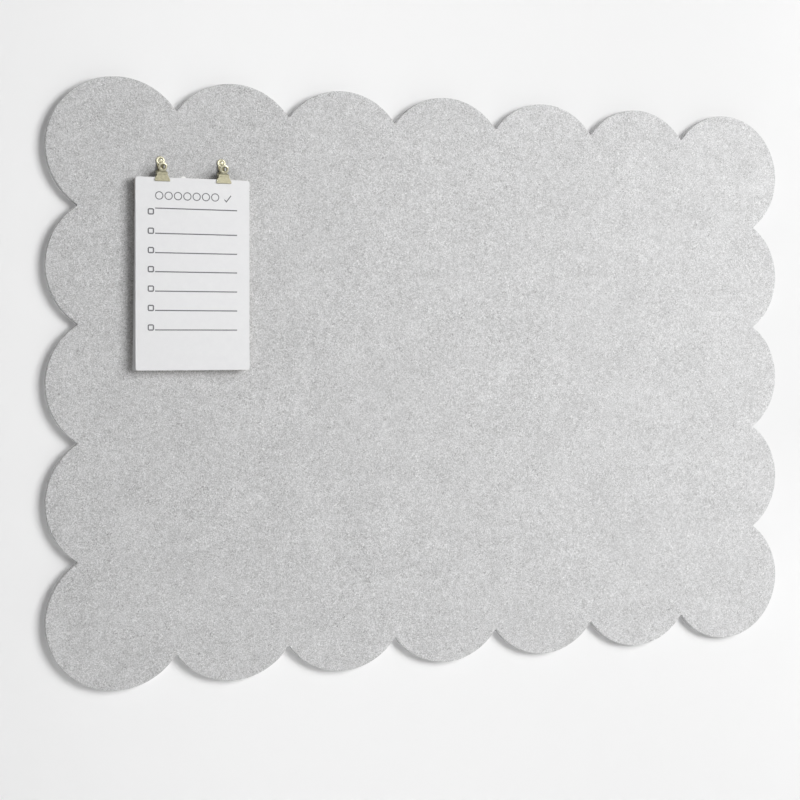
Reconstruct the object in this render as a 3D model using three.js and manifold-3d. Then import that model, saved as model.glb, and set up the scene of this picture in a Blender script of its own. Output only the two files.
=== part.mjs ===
// Felt bulletin board with a notepad hung on it in two push-pin clips.
// Millimetres, +Z up. The wall is the plane y = 0 and the board faces -Y.
// The origin is the middle of the wall face of the centre mounting strip.

import * as THREE from 'three';
import { mergeVertices } from 'three/addons/utils/BufferGeometryUtils.js';
import Module from 'manifold-3d';

// Felt panel
const SCALLOP_PITCH = 127;
const SCALLOP_OVERLAP = 25.4;
const SCALLOPS_WIDE = 7;
const SCALLOPS_HIGH = 5;
const CUSP_RADIUS = 1.5;
const PANEL_THICKNESS = 9;

// Mounting strips on the back of the panel
const STRIP_WIDTH = 20;
const STRIP_LENGTH = 90;
const STRIP_THICKNESS = 1;
const STRIP_CORNER = 3;
const STRIP_INSET_X = 41;
const STRIP_INSET_Z = 24;

// Notepad, placed from the middle of the board's top left scallop
const PAD_INSET = 79.2;
const PAD_DROP = 32;
const PAD_WIDTH = 125;
const PAD_HEIGHT = 208;
const PAD_CORNER = 2.5;
const CARD_THICKNESS = 1.2;
const BLOCK_THICKNESS = 5.9;
const TOP_SHEET_THICKNESS = 0.3;
const TOP_SHEET_GAP = 0.1;
const BOUND_MARGIN = 1.2;
const GUM_THICKNESS = 0.4;
const GUM_LUMP_X = -10.5;
const GUM_LUMP_WIDTH = 4.6;
const GUM_LUMP_DEPTH = 2.4;
const GUM_LUMP_HEIGHT = 2.2;

// Clip leaves, measured up from the tip of the jaw; each clip is set in from its side of the pad
const CLIP_INSET = 28.8;
const JAW_GRIP = 4.1;
const LEAF_THICKNESS = 0.8;
const JAW_WIDTH = 16.8;
const JAW_LIP = 1.2;
const NECK_WIDTH = 11.2;
const WAIST_INSET = 1.2;
const SHOULDER = 1.6;
const REAR_JAW_STANDOFF = 4;
const REAR_HANDLE_RADIUS = 4.5;
const REAR_NECK = 3;
const JOGGLE_RISE = 4.5;
const RING_RADIUS = 4.7;
const RING_RIM = 2.4;
const RING_NECK = 1.4;
const RING_TILT = 20;
const BEND_ABOVE_AXLE = 0.6;

// Clip lugs, axle, spring and needle
const LUG_RADIUS = 2.4;
const LUG_GAP = 0.4;
const LUG_ABOVE_PAD = 2.1;
const AXLE_RADIUS = 0.9;
const AXLE_HEAD_RADIUS = 1.6;
const AXLE_HEAD_THICKNESS = 0.6;
const WIRE_RADIUS = 0.35;
const COIL_PLAY = 0.65;
const COIL_SIDE_PLAY = 1;
const COIL_TURNS = 3.5;
const SPRING_LEG_REACH = 4;
const NEEDLE_RADIUS = 0.6;
const NEEDLE_POINT = 2.2;
const FELT_BEHIND_NEEDLE = 1.5;
const RIVET_RADIUS = 2.3;
const RIVET_CROWN_RADIUS = 1.6;
const RIVET_HEIGHT = 0.7;
const RIVET_RIM = 0.35;

// Fits and facets
const CLEARANCE = 0.3;
const SCALLOP_STEP = 6;
const CUSP_STEPS = 3;
const ROUND_SIDES = 16;
const OUTLINE_SEGMENTS = 8;
const WIRE_SIDES = 5;
const CURL_STEPS = 8;
const LEG_STEPS = 6;
const LEG_POINTS = 3;
const OVERSHOOT = 1;

// Levels that follow from the sizes above; standoffs are counted out from the front of the felt
const SCALLOP_RADIUS = (SCALLOP_PITCH + SCALLOP_OVERLAP) / 2;
const CORNER_X = ((SCALLOPS_WIDE - 1) / 2) * SCALLOP_PITCH;
const CORNER_Z = ((SCALLOPS_HIGH - 1) / 2) * SCALLOP_PITCH;
const PAD_CENTRE_X = PAD_INSET - CORNER_X;
const PAD_TOP_Z = CORNER_Z - PAD_DROP;
const FELT_FRONT = -(STRIP_THICKNESS + PANEL_THICKNESS);
const REAR_LEAF_FRONT = REAR_JAW_STANDOFF + LEAF_THICKNESS;
const PAD_BACK = REAR_LEAF_FRONT + CLEARANCE;
const CARD_FRONT = PAD_BACK + CARD_THICKNESS;
const BLOCK_FRONT = CARD_FRONT + BLOCK_THICKNESS;
const PAD_FRONT = BLOCK_FRONT + TOP_SHEET_GAP + TOP_SHEET_THICKNESS;
const FRONT_LEAF_BACK = PAD_FRONT + CLEARANCE;
const AXLE_STANDOFF = (REAR_LEAF_FRONT + FRONT_LEAF_BACK) / 2;
const BOUND_DEPTH = JAW_GRIP + BOUND_MARGIN;
const JAW_TIP_Z = PAD_TOP_Z - JAW_GRIP;
const AXLE_HEIGHT = JAW_GRIP + GUM_THICKNESS + LUG_ABOVE_PAD + LUG_RADIUS;
const NECK_TOP = AXLE_HEIGHT + LUG_RADIUS + CLEARANCE;
const HANDLE_BEND = AXLE_HEIGHT + BEND_ABOVE_AXLE;
const REAR_HANDLE_HEIGHT = NECK_TOP + JOGGLE_RISE + REAR_NECK + REAR_HANDLE_RADIUS;
const RING_REACH = RING_NECK + RING_RADIUS;
const FRONT_LUG_FACE = NECK_WIDTH / 2 - LEAF_THICKNESS - LUG_GAP;
const COIL_RADIUS = AXLE_RADIUS + COIL_PLAY + WIRE_RADIUS;
const COIL_LENGTH = 2 * (FRONT_LUG_FACE - LEAF_THICKNESS - COIL_SIDE_PLAY - WIRE_RADIUS);
const NEEDLE_DEPTH = PANEL_THICKNESS - FELT_BEHIND_NEEDLE;

const wasm = await Module();
wasm.setup();

const FACE_UP = new THREE.Matrix4().makeBasis(
  new THREE.Vector3(1, 0, 0), new THREE.Vector3(0, 0, 1), new THREE.Vector3(0, -1, 0));
const SIDE_ON = new THREE.Matrix4().makeBasis(
  new THREE.Vector3(0, 1, 0), new THREE.Vector3(0, 0, 1), new THREE.Vector3(1, 0, 0));

const finishes = {
  felt: { color: 0xb9b9ba, roughness: 1, metalness: 0 },
  tape: { color: 0xe6e5e0, roughness: 0.8, metalness: 0 },
  card: { color: 0xb39c78, roughness: 0.9, metalness: 0 },
  paper: { color: 0xe9e9ea, roughness: 0.85, metalness: 0 },
  gum: { color: 0xf3f2ec, roughness: 0.5, metalness: 0 },
  brass: { color: 0xb5a878, roughness: 0.35, metalness: 1 },
  steel: { color: 0x9a9a98, roughness: 0.3, metalness: 1 },
};

function piece(name, geometry, finish) {
  const mesh = new THREE.Mesh(geometry, new THREE.MeshStandardMaterial(finishes[finish]));
  mesh.name = name;
  return mesh;
}

// Joined vertices and no collapsed triangles, so that each solid is closed
function weld(geometry) {
  const bare = geometry.clone();
  bare.deleteAttribute('normal');
  bare.deleteAttribute('uv');
  const joined = mergeVertices(bare);
  const index = [];
  for (let i = 0; i < joined.index.count; i += 3) {
    const [a, b, c] = [0, 1, 2].map((k) => joined.index.getX(i + k));
    if (a !== b && b !== c && c !== a) index.push(a, b, c);
  }
  joined.setIndex(index);
  joined.computeVertexNormals();
  return joined;
}

function toSolid(geometry) {
  const closed = weld(geometry);
  return new wasm.Manifold(new wasm.Mesh({
    numProp: 3,
    vertProperties: Float32Array.from(closed.attributes.position.array),
    triVerts: Uint32Array.from(closed.index.array),
  }));
}

function toGeometry(solid) {
  const { vertProperties, triVerts } = solid.getMesh();
  const geometry = new THREE.BufferGeometry();
  geometry.setAttribute('position', new THREE.BufferAttribute(vertProperties, 3));
  geometry.setIndex(new THREE.BufferAttribute(triVerts, 1));
  geometry.computeVertexNormals();
  return geometry;
}

// A plate drawn in X and Z, from a standoff outwards
function facePlate(shape, standoff, thickness) {
  const geometry = new THREE.ExtrudeGeometry(shape, {
    depth: thickness, bevelEnabled: false, curveSegments: OUTLINE_SEGMENTS,
  });
  return geometry.applyMatrix4(FACE_UP).translate(0, -standoff, 0);
}

// A plate drawn in Y and Z, from x outwards to +X
function sidePlate(shape, x, thickness) {
  const geometry = new THREE.ExtrudeGeometry(shape, {
    depth: thickness, bevelEnabled: false, curveSegments: OUTLINE_SEGMENTS,
  });
  return geometry.applyMatrix4(SIDE_ON).translate(x, 0, 0);
}

function roundedRectangle(width, low, high, corner) {
  const right = width / 2;
  const shape = new THREE.Shape();
  shape.moveTo(-right + corner, low);
  shape.absarc(right - corner, low + corner, corner, -Math.PI / 2, 0);
  shape.absarc(right - corner, high - corner, corner, 0, Math.PI / 2);
  shape.absarc(-right + corner, high - corner, corner, Math.PI / 2, Math.PI);
  shape.absarc(-right + corner, low + corner, corner, Math.PI, 1.5 * Math.PI);
  return shape;
}

// A bar lying along Y, with its radius given at points along it
function turnedBar(profile) {
  return new THREE.LatheGeometry(profile.map(([radius, y]) => new THREE.Vector2(radius, y)), ROUND_SIDES);
}

function drill(radius, length) {
  return new THREE.CylinderGeometry(radius, radius, length, ROUND_SIDES);
}

// Felt panel: a row of overlapping circles all round, joined by small rounds in the cusps
function scallopCentres() {
  const centres = [];
  for (let i = 0; i < SCALLOPS_WIDE - 1; i += 1) centres.push([i * SCALLOP_PITCH - CORNER_X, -CORNER_Z]);
  for (let i = 0; i < SCALLOPS_HIGH - 1; i += 1) centres.push([CORNER_X, i * SCALLOP_PITCH - CORNER_Z]);
  const firstHalf = centres.map(([x, z]) => new THREE.Vector2(x, z));
  return [...firstHalf, ...firstHalf.map((centre) => centre.clone().negate())];
}

function arcPoints(centre, radius, start, sweep, steps) {
  const points = [];
  for (let i = 0; i <= steps; i += 1) {
    const angle = start + (sweep * i) / steps;
    points.push(new THREE.Vector2(Math.cos(angle), Math.sin(angle)).multiplyScalar(radius).add(centre));
  }
  return points;
}

function panelOutline() {
  const centres = scallopCentres();
  const reach = SCALLOP_RADIUS + CUSP_RADIUS;
  const lean = Math.acos(SCALLOP_PITCH / 2 / reach);
  const turn = (angle) => ((angle % (2 * Math.PI)) + 2 * Math.PI) % (2 * Math.PI);
  const points = [];
  centres.forEach((centre, i) => {
    const before = centres.at(i - 1);
    const after = centres[(i + 1) % centres.length];
    const start = before.clone().sub(centre).angle() + lean;
    const end = after.clone().sub(centre).angle() - lean;
    const sweep = turn(end - start);
    const steps = Math.ceil(sweep / THREE.MathUtils.degToRad(SCALLOP_STEP));
    points.push(...arcPoints(centre, SCALLOP_RADIUS, start, sweep, steps));
    const hollow = new THREE.Vector2(Math.cos(end), Math.sin(end)).multiplyScalar(reach).add(centre);
    const round = arcPoints(hollow, CUSP_RADIUS, end + Math.PI, -(Math.PI - 2 * lean), CUSP_STEPS);
    points.push(...round.slice(1, -1));
  });
  return new THREE.Shape(points);
}

function feltPanel() {
  let panel = toSolid(facePlate(panelOutline(), STRIP_THICKNESS, PANEL_THICKNESS));
  for (const x of clipPlaces()) {
    const hole = drill(NEEDLE_RADIUS + CLEARANCE, 2 * (NEEDLE_DEPTH + CLEARANCE));
    hole.translate(x, FELT_FRONT, JAW_TIP_Z + REAR_HANDLE_HEIGHT);
    panel = panel.subtract(toSolid(hole));
  }
  return piece('felt_panel', toGeometry(panel), 'felt');
}

function clipPlaces() {
  return [-1, 1].map((side) => PAD_CENTRE_X + side * (PAD_WIDTH / 2 - CLIP_INSET));
}

function mountingStrips() {
  const places = {
    top_left: [-1, 1], top_right: [1, 1], centre: [0, 0], bottom_left: [-1, -1], bottom_right: [1, -1],
  };
  const half = STRIP_LENGTH / 2;
  return Object.entries(places).map(([place, [across, up]]) => {
    const strip = facePlate(roundedRectangle(STRIP_WIDTH, -half, half, STRIP_CORNER), 0, STRIP_THICKNESS);
    const mesh = piece(`mounting_strip_${place}`, weld(strip), 'tape');
    mesh.position.set(across * (CORNER_X - STRIP_INSET_X), 0, up * (CORNER_Z - STRIP_INSET_Z));
    return mesh;
  });
}

// Notepad, with z counted from its top edge. Each layer is the pad's outline cut to a side profile
function padLayer(name, profile, finish) {
  const outline = roundedRectangle(PAD_WIDTH, -PAD_HEIGHT, 0, PAD_CORNER);
  const pad = toSolid(facePlate(outline, PAD_BACK, PAD_FRONT - PAD_BACK));
  const side = new THREE.Shape(profile.map(([standoff, z]) => new THREE.Vector2(-standoff, z)));
  const layer = pad.intersect(toSolid(sidePlate(side, -PAD_WIDTH / 2, PAD_WIDTH)));
  return piece(name, toGeometry(layer), finish);
}

function backingCard() {
  return padLayer('pad_backing_card', [
    [PAD_BACK, 0], [CARD_FRONT, 0], [CARD_FRONT, -PAD_HEIGHT], [PAD_BACK, -PAD_HEIGHT],
  ], 'card');
}

// The bound edge stands forward as far as the top sheets, which lift below it
function sheetBlock() {
  return padLayer('pad_sheet_block', [
    [CARD_FRONT, 0], [PAD_FRONT, 0], [PAD_FRONT, -BOUND_DEPTH], [BLOCK_FRONT, -BOUND_DEPTH],
    [BLOCK_FRONT, -PAD_HEIGHT], [CARD_FRONT, -PAD_HEIGHT],
  ], 'paper');
}

function topSheets() {
  const high = -BOUND_DEPTH - CLEARANCE;
  const back = PAD_FRONT - TOP_SHEET_THICKNESS;
  return padLayer('pad_top_sheets', [
    [back, high], [PAD_FRONT, high], [PAD_FRONT, -PAD_HEIGHT], [back, -PAD_HEIGHT],
  ], 'paper');
}

function gumEdge() {
  const profile = new THREE.Shape();
  profile.moveTo(-PAD_BACK, 0);
  profile.lineTo(-PAD_BACK, GUM_THICKNESS);
  profile.lineTo(-PAD_FRONT, GUM_THICKNESS);
  profile.lineTo(-PAD_FRONT, 0);
  const length = PAD_WIDTH - 2 * PAD_CORNER;
  const layer = toSolid(sidePlate(profile, -length / 2, length));
  const lump = new THREE.SphereGeometry(1, ROUND_SIDES, ROUND_SIDES / 2);
  lump.scale(GUM_LUMP_WIDTH / 2, GUM_LUMP_DEPTH / 2, GUM_LUMP_HEIGHT);
  lump.translate(GUM_LUMP_X, GUM_LUMP_DEPTH / 2 - PAD_FRONT, 0);
  const above = new THREE.BoxGeometry(GUM_LUMP_WIDTH * 2, GUM_LUMP_DEPTH * 2, GUM_LUMP_HEIGHT * 2);
  above.translate(GUM_LUMP_X, GUM_LUMP_DEPTH / 2 - PAD_FRONT, GUM_LUMP_HEIGHT + GUM_THICKNESS / 2);
  const crown = toSolid(lump).intersect(toSolid(above));
  return piece('pad_gum_edge', toGeometry(layer.add(crown)), 'gum');
}

function notepad() {
  const pad = new THREE.Group();
  pad.add(backingCard(), sheetBlock(), topSheets(), gumEdge());
  pad.position.set(PAD_CENTRE_X, FELT_FRONT, PAD_TOP_Z);
  return pad;
}

// Clip leaves are flat outlines bent to a side profile; y runs from the felt to the viewer as -standoff
function leafOutline(waistLow, handleHeight, handleWide, handleHigh) {
  const [jaw, neck, waist] = [JAW_WIDTH / 2, NECK_WIDTH / 2, handleWide - WAIST_INSET];
  const open = Math.acos(waist / handleWide);
  const shape = new THREE.Shape();
  shape.moveTo(-jaw, 0);
  shape.lineTo(jaw, 0);
  shape.lineTo(jaw, JAW_LIP);
  shape.lineTo(neck, AXLE_HEIGHT);
  shape.lineTo(neck, waistLow);
  shape.lineTo(waist, waistLow + SHOULDER);
  shape.absellipse(0, handleHeight, handleWide, handleHigh, -open, Math.PI + open, false, 0);
  shape.lineTo(-waist, waistLow + SHOULDER);
  shape.lineTo(-neck, waistLow);
  shape.lineTo(-neck, AXLE_HEIGHT);
  shape.lineTo(-jaw, JAW_LIP);
  return shape;
}

// A strip of even thickness about a bent middle line of [standoff, z] points
function bentStrip(line, thickness) {
  const middle = line.map(([standoff, z]) => new THREE.Vector2(-standoff, z));
  const along = middle.slice(1).map((point, i) => point.clone().sub(middle[i]).normalize());
  const offset = (side) => middle.map((point, i) => {
    const before = along[Math.max(i - 1, 0)];
    const after = along[Math.min(i, along.length - 1)];
    const across = new THREE.Vector2(-before.y - after.y, before.x + after.x).normalize();
    const mitre = (side * thickness) / 2 / (across.y * after.x - across.x * after.y);
    return across.multiplyScalar(mitre).add(point);
  });
  return new THREE.Shape([...offset(1), ...offset(-1).reverse()]);
}

function bentLeaf(outline, line) {
  const depth = 2 * line.reduce((most, [standoff]) => Math.max(most, standoff), 0);
  const sheet = toSolid(facePlate(outline, -LEAF_THICKNESS, depth));
  return sheet.intersect(toSolid(sidePlate(bentStrip(line, LEAF_THICKNESS), -JAW_WIDTH, 2 * JAW_WIDTH)));
}

// One folded lug: it runs from the leaf to a round end about the axle
function lug(leafStandoff, x) {
  const towards = Math.sign(leafStandoff - AXLE_STANDOFF);
  const shape = new THREE.Shape();
  shape.moveTo(-leafStandoff, AXLE_HEIGHT - LUG_RADIUS);
  shape.lineTo(-leafStandoff, AXLE_HEIGHT + LUG_RADIUS);
  shape.absarc(-AXLE_STANDOFF, AXLE_HEIGHT, LUG_RADIUS, Math.PI / 2, -Math.PI / 2, towards > 0);
  return toSolid(sidePlate(shape, x, LEAF_THICKNESS));
}

function withLugs(leaf, leafStandoff, outerFace) {
  const bore = drill(AXLE_RADIUS + CLEARANCE, 2 * NECK_WIDTH).rotateZ(Math.PI / 2);
  bore.translate(0, -AXLE_STANDOFF, AXLE_HEIGHT);
  return leaf
    .add(lug(leafStandoff, outerFace - LEAF_THICKNESS))
    .add(lug(leafStandoff, -outerFace))
    .subtract(toSolid(bore));
}

function rearLeaf(clip) {
  const flat = CLEARANCE + LEAF_THICKNESS / 2;
  const jaw = REAR_JAW_STANDOFF + LEAF_THICKNESS / 2;
  const top = REAR_HANDLE_HEIGHT + 2 * REAR_HANDLE_RADIUS;
  const line = [[jaw, -OVERSHOOT], [jaw, NECK_TOP], [flat, NECK_TOP + JOGGLE_RISE], [flat, top]];
  const outline = leafOutline(NECK_TOP, REAR_HANDLE_HEIGHT, REAR_HANDLE_RADIUS, REAR_HANDLE_RADIUS);
  const hole = drill(NEEDLE_RADIUS + CLEARANCE, 2 * REAR_JAW_STANDOFF);
  hole.translate(0, 0, REAR_HANDLE_HEIGHT);
  const leaf = withLugs(bentLeaf(outline, line), jaw, NECK_WIDTH / 2).subtract(toSolid(hole));
  return piece(`${clip}_rear_leaf`, toGeometry(leaf), 'brass');
}

function frontLeaf(clip) {
  const tilt = THREE.MathUtils.degToRad(RING_TILT);
  const jaw = FRONT_LEAF_BACK + LEAF_THICKNESS / 2;
  const onHandle = (reach) => [jaw + reach * Math.sin(tilt), HANDLE_BEND + reach * Math.cos(tilt)];
  const line = [[jaw, -OVERSHOOT], [jaw, HANDLE_BEND], onHandle(RING_REACH + 2 * RING_RADIUS)];
  const [ringStandoff, ringHeight] = onHandle(RING_REACH);
  const outline = leafOutline(HANDLE_BEND, ringHeight, RING_RADIUS, RING_RADIUS * Math.cos(tilt));
  const hole = drill(RING_RADIUS - RING_RIM, 4 * LEAF_THICKNESS).rotateX(tilt);
  hole.translate(0, -ringStandoff, ringHeight);
  const leaf = withLugs(bentLeaf(outline, line), jaw, FRONT_LUG_FACE).subtract(toSolid(hole));
  return piece(`${clip}_front_leaf`, toGeometry(leaf), 'brass');
}

function axle(clip) {
  const inner = NECK_WIDTH / 2 + CLEARANCE;
  const outer = inner + AXLE_HEAD_THICKNESS;
  const bar = turnedBar([
    [0, -outer], [AXLE_HEAD_RADIUS, -outer], [AXLE_HEAD_RADIUS, -inner], [AXLE_RADIUS, -inner],
    [AXLE_RADIUS, inner], [AXLE_HEAD_RADIUS, inner], [AXLE_HEAD_RADIUS, outer], [0, outer],
  ]);
  const mesh = piece(`${clip}_axle`, weld(bar), 'brass');
  mesh.rotation.z = Math.PI / 2;
  mesh.position.set(0, -AXLE_STANDOFF, AXLE_HEIGHT);
  return mesh;
}

// The needle's point is in the felt and its rivet head lies on the rear handle
function needle(clip) {
  const seat = CLEARANCE + LEAF_THICKNESS;
  const bar = turnedBar([
    [0, -seat - RIVET_HEIGHT], [RIVET_CROWN_RADIUS, -seat - RIVET_HEIGHT], [RIVET_RADIUS, -seat - RIVET_RIM],
    [RIVET_RADIUS, -seat], [NEEDLE_RADIUS, -seat],
    [NEEDLE_RADIUS, NEEDLE_DEPTH - NEEDLE_POINT], [0, NEEDLE_DEPTH],
  ]);
  const mesh = piece(`${clip}_needle`, weld(bar), 'steel');
  mesh.position.z = REAR_HANDLE_HEIGHT;
  return mesh;
}

// Torsion spring: a leg down from the rear leaf, a coil about the axle, a leg up to the front handle
function springPath() {
  const tilt = THREE.MathUtils.degToRad(RING_TILT);
  const lift = CLEARANCE + WIRE_RADIUS + LEAF_THICKNESS / 2;
  const half = COIL_LENGTH / 2;
  const rest = new THREE.Vector3(-half, -REAR_LEAF_FRONT - CLEARANCE - WIRE_RADIUS, NECK_TOP - CLEARANCE);
  const handle = new THREE.Vector3(
    half,
    -FRONT_LEAF_BACK - LEAF_THICKNESS / 2 - SPRING_LEG_REACH * Math.sin(tilt) + lift * Math.cos(tilt),
    HANDLE_BEND + SPRING_LEG_REACH * Math.cos(tilt) + lift * Math.sin(tilt));
  const coil = [];
  const steps = COIL_TURNS * CURL_STEPS;
  for (let i = 0; i <= steps; i += 1) {
    const angle = (-2 * Math.PI * i) / CURL_STEPS;
    coil.push(new THREE.Vector3(
      (COIL_LENGTH * i) / steps - half,
      -AXLE_STANDOFF + COIL_RADIUS * Math.cos(angle),
      AXLE_HEIGHT + COIL_RADIUS * Math.sin(angle)));
  }
  const leg = (from, to) => Array.from(
    { length: LEG_POINTS }, (_, i) => from.clone().lerp(to, (i + 1) / LEG_POINTS));
  return [...leg(coil[0], rest).reverse(), ...coil, ...leg(coil.at(-1), handle)];
}

function leastCoilGap(points) {
  let least = Infinity;
  points.forEach((a, i) => points.slice(i + CURL_STEPS / 2 + 1).forEach((b) => {
    least = Math.min(least, a.distanceTo(b) - 2 * WIRE_RADIUS);
  }));
  return least;
}

function spring(clip) {
  const points = springPath();
  console.log(`${clip} spring: least gap between turns ${leastCoilGap(points).toFixed(2)} mm`);
  const ring = arcPoints(new THREE.Vector2(), WIRE_RADIUS, 0, 2 * Math.PI, WIRE_SIDES);
  const section = new THREE.Shape(ring.slice(1));
  const wire = new THREE.ExtrudeGeometry(section, {
    steps: COIL_TURNS * CURL_STEPS + 2 * LEG_STEPS,
    extrudePath: new THREE.CatmullRomCurve3(points),
    bevelEnabled: false,
  });
  return piece(`${clip}_spring`, weld(wire), 'steel');
}

function pushPinClip(clip, x) {
  const group = new THREE.Group();
  group.add(rearLeaf(clip), frontLeaf(clip), axle(clip), spring(clip), needle(clip));
  group.position.set(x, FELT_FRONT, JAW_TIP_Z);
  return group;
}

const board = new THREE.Group();
board.add(feltPanel(), ...mountingStrips(), notepad());
['left_clip', 'right_clip'].forEach((clip, i) => board.add(pushPinClip(clip, clipPlaces()[i])));

export default board;
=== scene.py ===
# %% [markdown]
# # A scalloped felt board with a notepad clipped to it
#
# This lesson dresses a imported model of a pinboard. The model brings the real sizes, the moving bodies and
# their joints. Here each solid gets the mesh and the finish that the eye expects from the real thing:
# soft cut felt, a stack of single sheets, pressed brass and bent spring wire. Everything is in metres, in
# the model's own frame: +X runs along the board, +Y into the wall and +Z up.

import math
import random

import bmesh
import bpy
import numpy as np
from mathutils import Matrix, Vector, noise
from mathutils.geometry import delaunay_2d_cdt


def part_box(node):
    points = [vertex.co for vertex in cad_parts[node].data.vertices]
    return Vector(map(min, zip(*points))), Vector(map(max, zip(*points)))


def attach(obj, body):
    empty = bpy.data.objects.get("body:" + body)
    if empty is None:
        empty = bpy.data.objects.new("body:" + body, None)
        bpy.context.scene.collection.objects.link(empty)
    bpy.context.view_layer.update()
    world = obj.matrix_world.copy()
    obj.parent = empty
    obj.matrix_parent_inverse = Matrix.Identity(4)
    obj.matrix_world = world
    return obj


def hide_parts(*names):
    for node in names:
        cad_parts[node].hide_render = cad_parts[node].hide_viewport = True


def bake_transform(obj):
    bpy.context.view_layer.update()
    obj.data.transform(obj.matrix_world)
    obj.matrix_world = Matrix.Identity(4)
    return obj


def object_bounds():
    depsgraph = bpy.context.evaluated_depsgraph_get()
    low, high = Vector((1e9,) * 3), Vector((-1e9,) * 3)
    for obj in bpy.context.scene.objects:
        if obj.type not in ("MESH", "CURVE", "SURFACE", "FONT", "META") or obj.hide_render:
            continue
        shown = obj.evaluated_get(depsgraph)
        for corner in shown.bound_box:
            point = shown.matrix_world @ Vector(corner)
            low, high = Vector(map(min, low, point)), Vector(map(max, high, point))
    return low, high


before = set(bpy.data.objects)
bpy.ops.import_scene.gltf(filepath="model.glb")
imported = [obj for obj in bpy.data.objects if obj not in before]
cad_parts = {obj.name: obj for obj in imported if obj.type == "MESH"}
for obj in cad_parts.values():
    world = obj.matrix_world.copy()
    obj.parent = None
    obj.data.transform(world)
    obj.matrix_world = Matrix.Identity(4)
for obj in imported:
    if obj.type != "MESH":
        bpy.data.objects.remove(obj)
cad_low, cad_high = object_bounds()
MM = 0.001
print("CAD box in mm:", [round(side / MM, 1) for side in cad_high - cad_low])

# %% [markdown]
# ## Camera
# The picture was taken from the left with a short telephoto lens. Its uprights are all parallel, so the
# camera stood level and the frame was slid down a little, as a shift lens does. The place, the turn and the
# slide come from fitting the board's own cusps, which lie on a regular grid, to where the picture shows them.
# A Track To constraint on the board would tip the camera, so it is turned about the upright axis alone.

# %% Camera
CAMERA_PLACE = Vector((-0.611, -1.5024, 0.0466))
CAMERA_TURN = math.radians(20.34)
CAMERA_LENS = 61.95
FRAME_SLIDE = -0.0748

camera_data = bpy.data.cameras.new("camera")
camera_data.sensor_width = 36
camera_data.lens = CAMERA_LENS
camera_data.shift_y = FRAME_SLIDE
camera = bpy.data.objects.new("camera", camera_data)
upright = Matrix.Rotation(math.pi / 2, 4, "X")
camera.matrix_world = Matrix.Translation(CAMERA_PLACE) @ Matrix.Rotation(-CAMERA_TURN, 4, "Z") @ upright
bpy.context.scene.collection.objects.link(camera)
bpy.context.scene.camera = camera
bpy.context.scene.view_settings.view_transform = "Standard"
print("camera stands", round(CAMERA_PLACE.length, 2), "m from the middle of the board")

# %% [markdown]
# ## Tools for finishes
# Every finish in this lesson is a small node tree: a few noises, mapped and mixed, drive colour, roughness
# and bump. These helpers keep such a tree readable. A socket takes a plain value or another node's output,
# and what is the same all over a surface is set on the shader itself.

# %% Shader helpers
def feed(tree, owner, sockets):
    """Sets a node's sockets, by name or number, to plain values or to other nodes' outputs."""
    for key, value in sockets.items():
        if isinstance(value, bpy.types.NodeSocket):
            tree.links.new(value, owner.inputs[key])
        else:
            owner.inputs[key].default_value = value


def node(tree, kind, sockets, output=0, **settings):
    """Adds a node with its settings, feeds it and gives one of its outputs."""
    made = tree.nodes.new("ShaderNode" + kind)
    for key, value in settings.items():
        setattr(made, key, value)
    feed(tree, made, sockets)
    return made.outputs[output]


def new_finish(name, sockets):
    finish = bpy.data.materials.new(name)
    finish.use_nodes = True
    shader = finish.node_tree.nodes["Principled BSDF"]
    feed(finish.node_tree, shader, sockets)
    return finish, finish.node_tree, shader


print("shader helpers:", [helper.__name__ for helper in (feed, node, new_finish)])

# %% [markdown]
# ## Noises and mixes
# Object coordinates are metres on the piece itself, so a noise's scale is its number of grains in a metre,
# and a stretched place draws those grains out into fibres or brush marks. UV maps would do as well, but every
# mesh would need unwrapping. Many finishes only drift between two tones, so they share one recipe.

# %% Noises and mixes
MIX_FACTOR, MIX_A, MIX_B, MIX_RESULT = 0, 6, 7, 2


def place_on(tree, turn=0.0, stretch=(1, 1, 1), bend=None):
    """The point on the piece, in metres, turned in the board's plane and then stretched."""
    point = node(tree, "TexCoord", {}, "Object")
    if bend is not None:
        point = node(tree, "VectorMath", {0: point, 1: bend})
    sockets = {"Vector": point, "Rotation": (0, turn, 0), "Scale": [1 / share for share in stretch]}
    return node(tree, "Mapping", sockets, vector_type="TEXTURE")


def cloud(tree, point, scale, detail=2.0, roughness=0.5, output="Fac"):
    sockets = {"Vector": point, "Scale": scale, "Detail": detail, "Roughness": roughness}
    return node(tree, "TexNoise", sockets, output)


def remap(tree, value, low, high, to_low=0.0, to_high=1.0):
    sockets = {"Value": value, "From Min": low, "From Max": high, "To Min": to_low, "To Max": to_high}
    return node(tree, "MapRange", sockets, interpolation_type="SMOOTHSTEP")


def maths(tree, operation, a, b):
    return node(tree, "Math", {0: a, 1: b}, operation=operation)


def mixed(tree, factor, a, b):
    return node(tree, "Mix", {MIX_FACTOR: factor, MIX_A: a, MIX_B: b}, MIX_RESULT, data_type="RGBA")


def bumped(tree, height, strength, distance):
    return node(tree, "Bump", {"Height": height, "Strength": strength, "Distance": distance})


print("noise helpers:", [helper.__name__ for helper in (place_on, cloud, remap, maths, mixed, bumped)])

# %% Two-tone finish
DRIFT_LOW, DRIFT_HIGH = 0.3, 0.7


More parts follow.
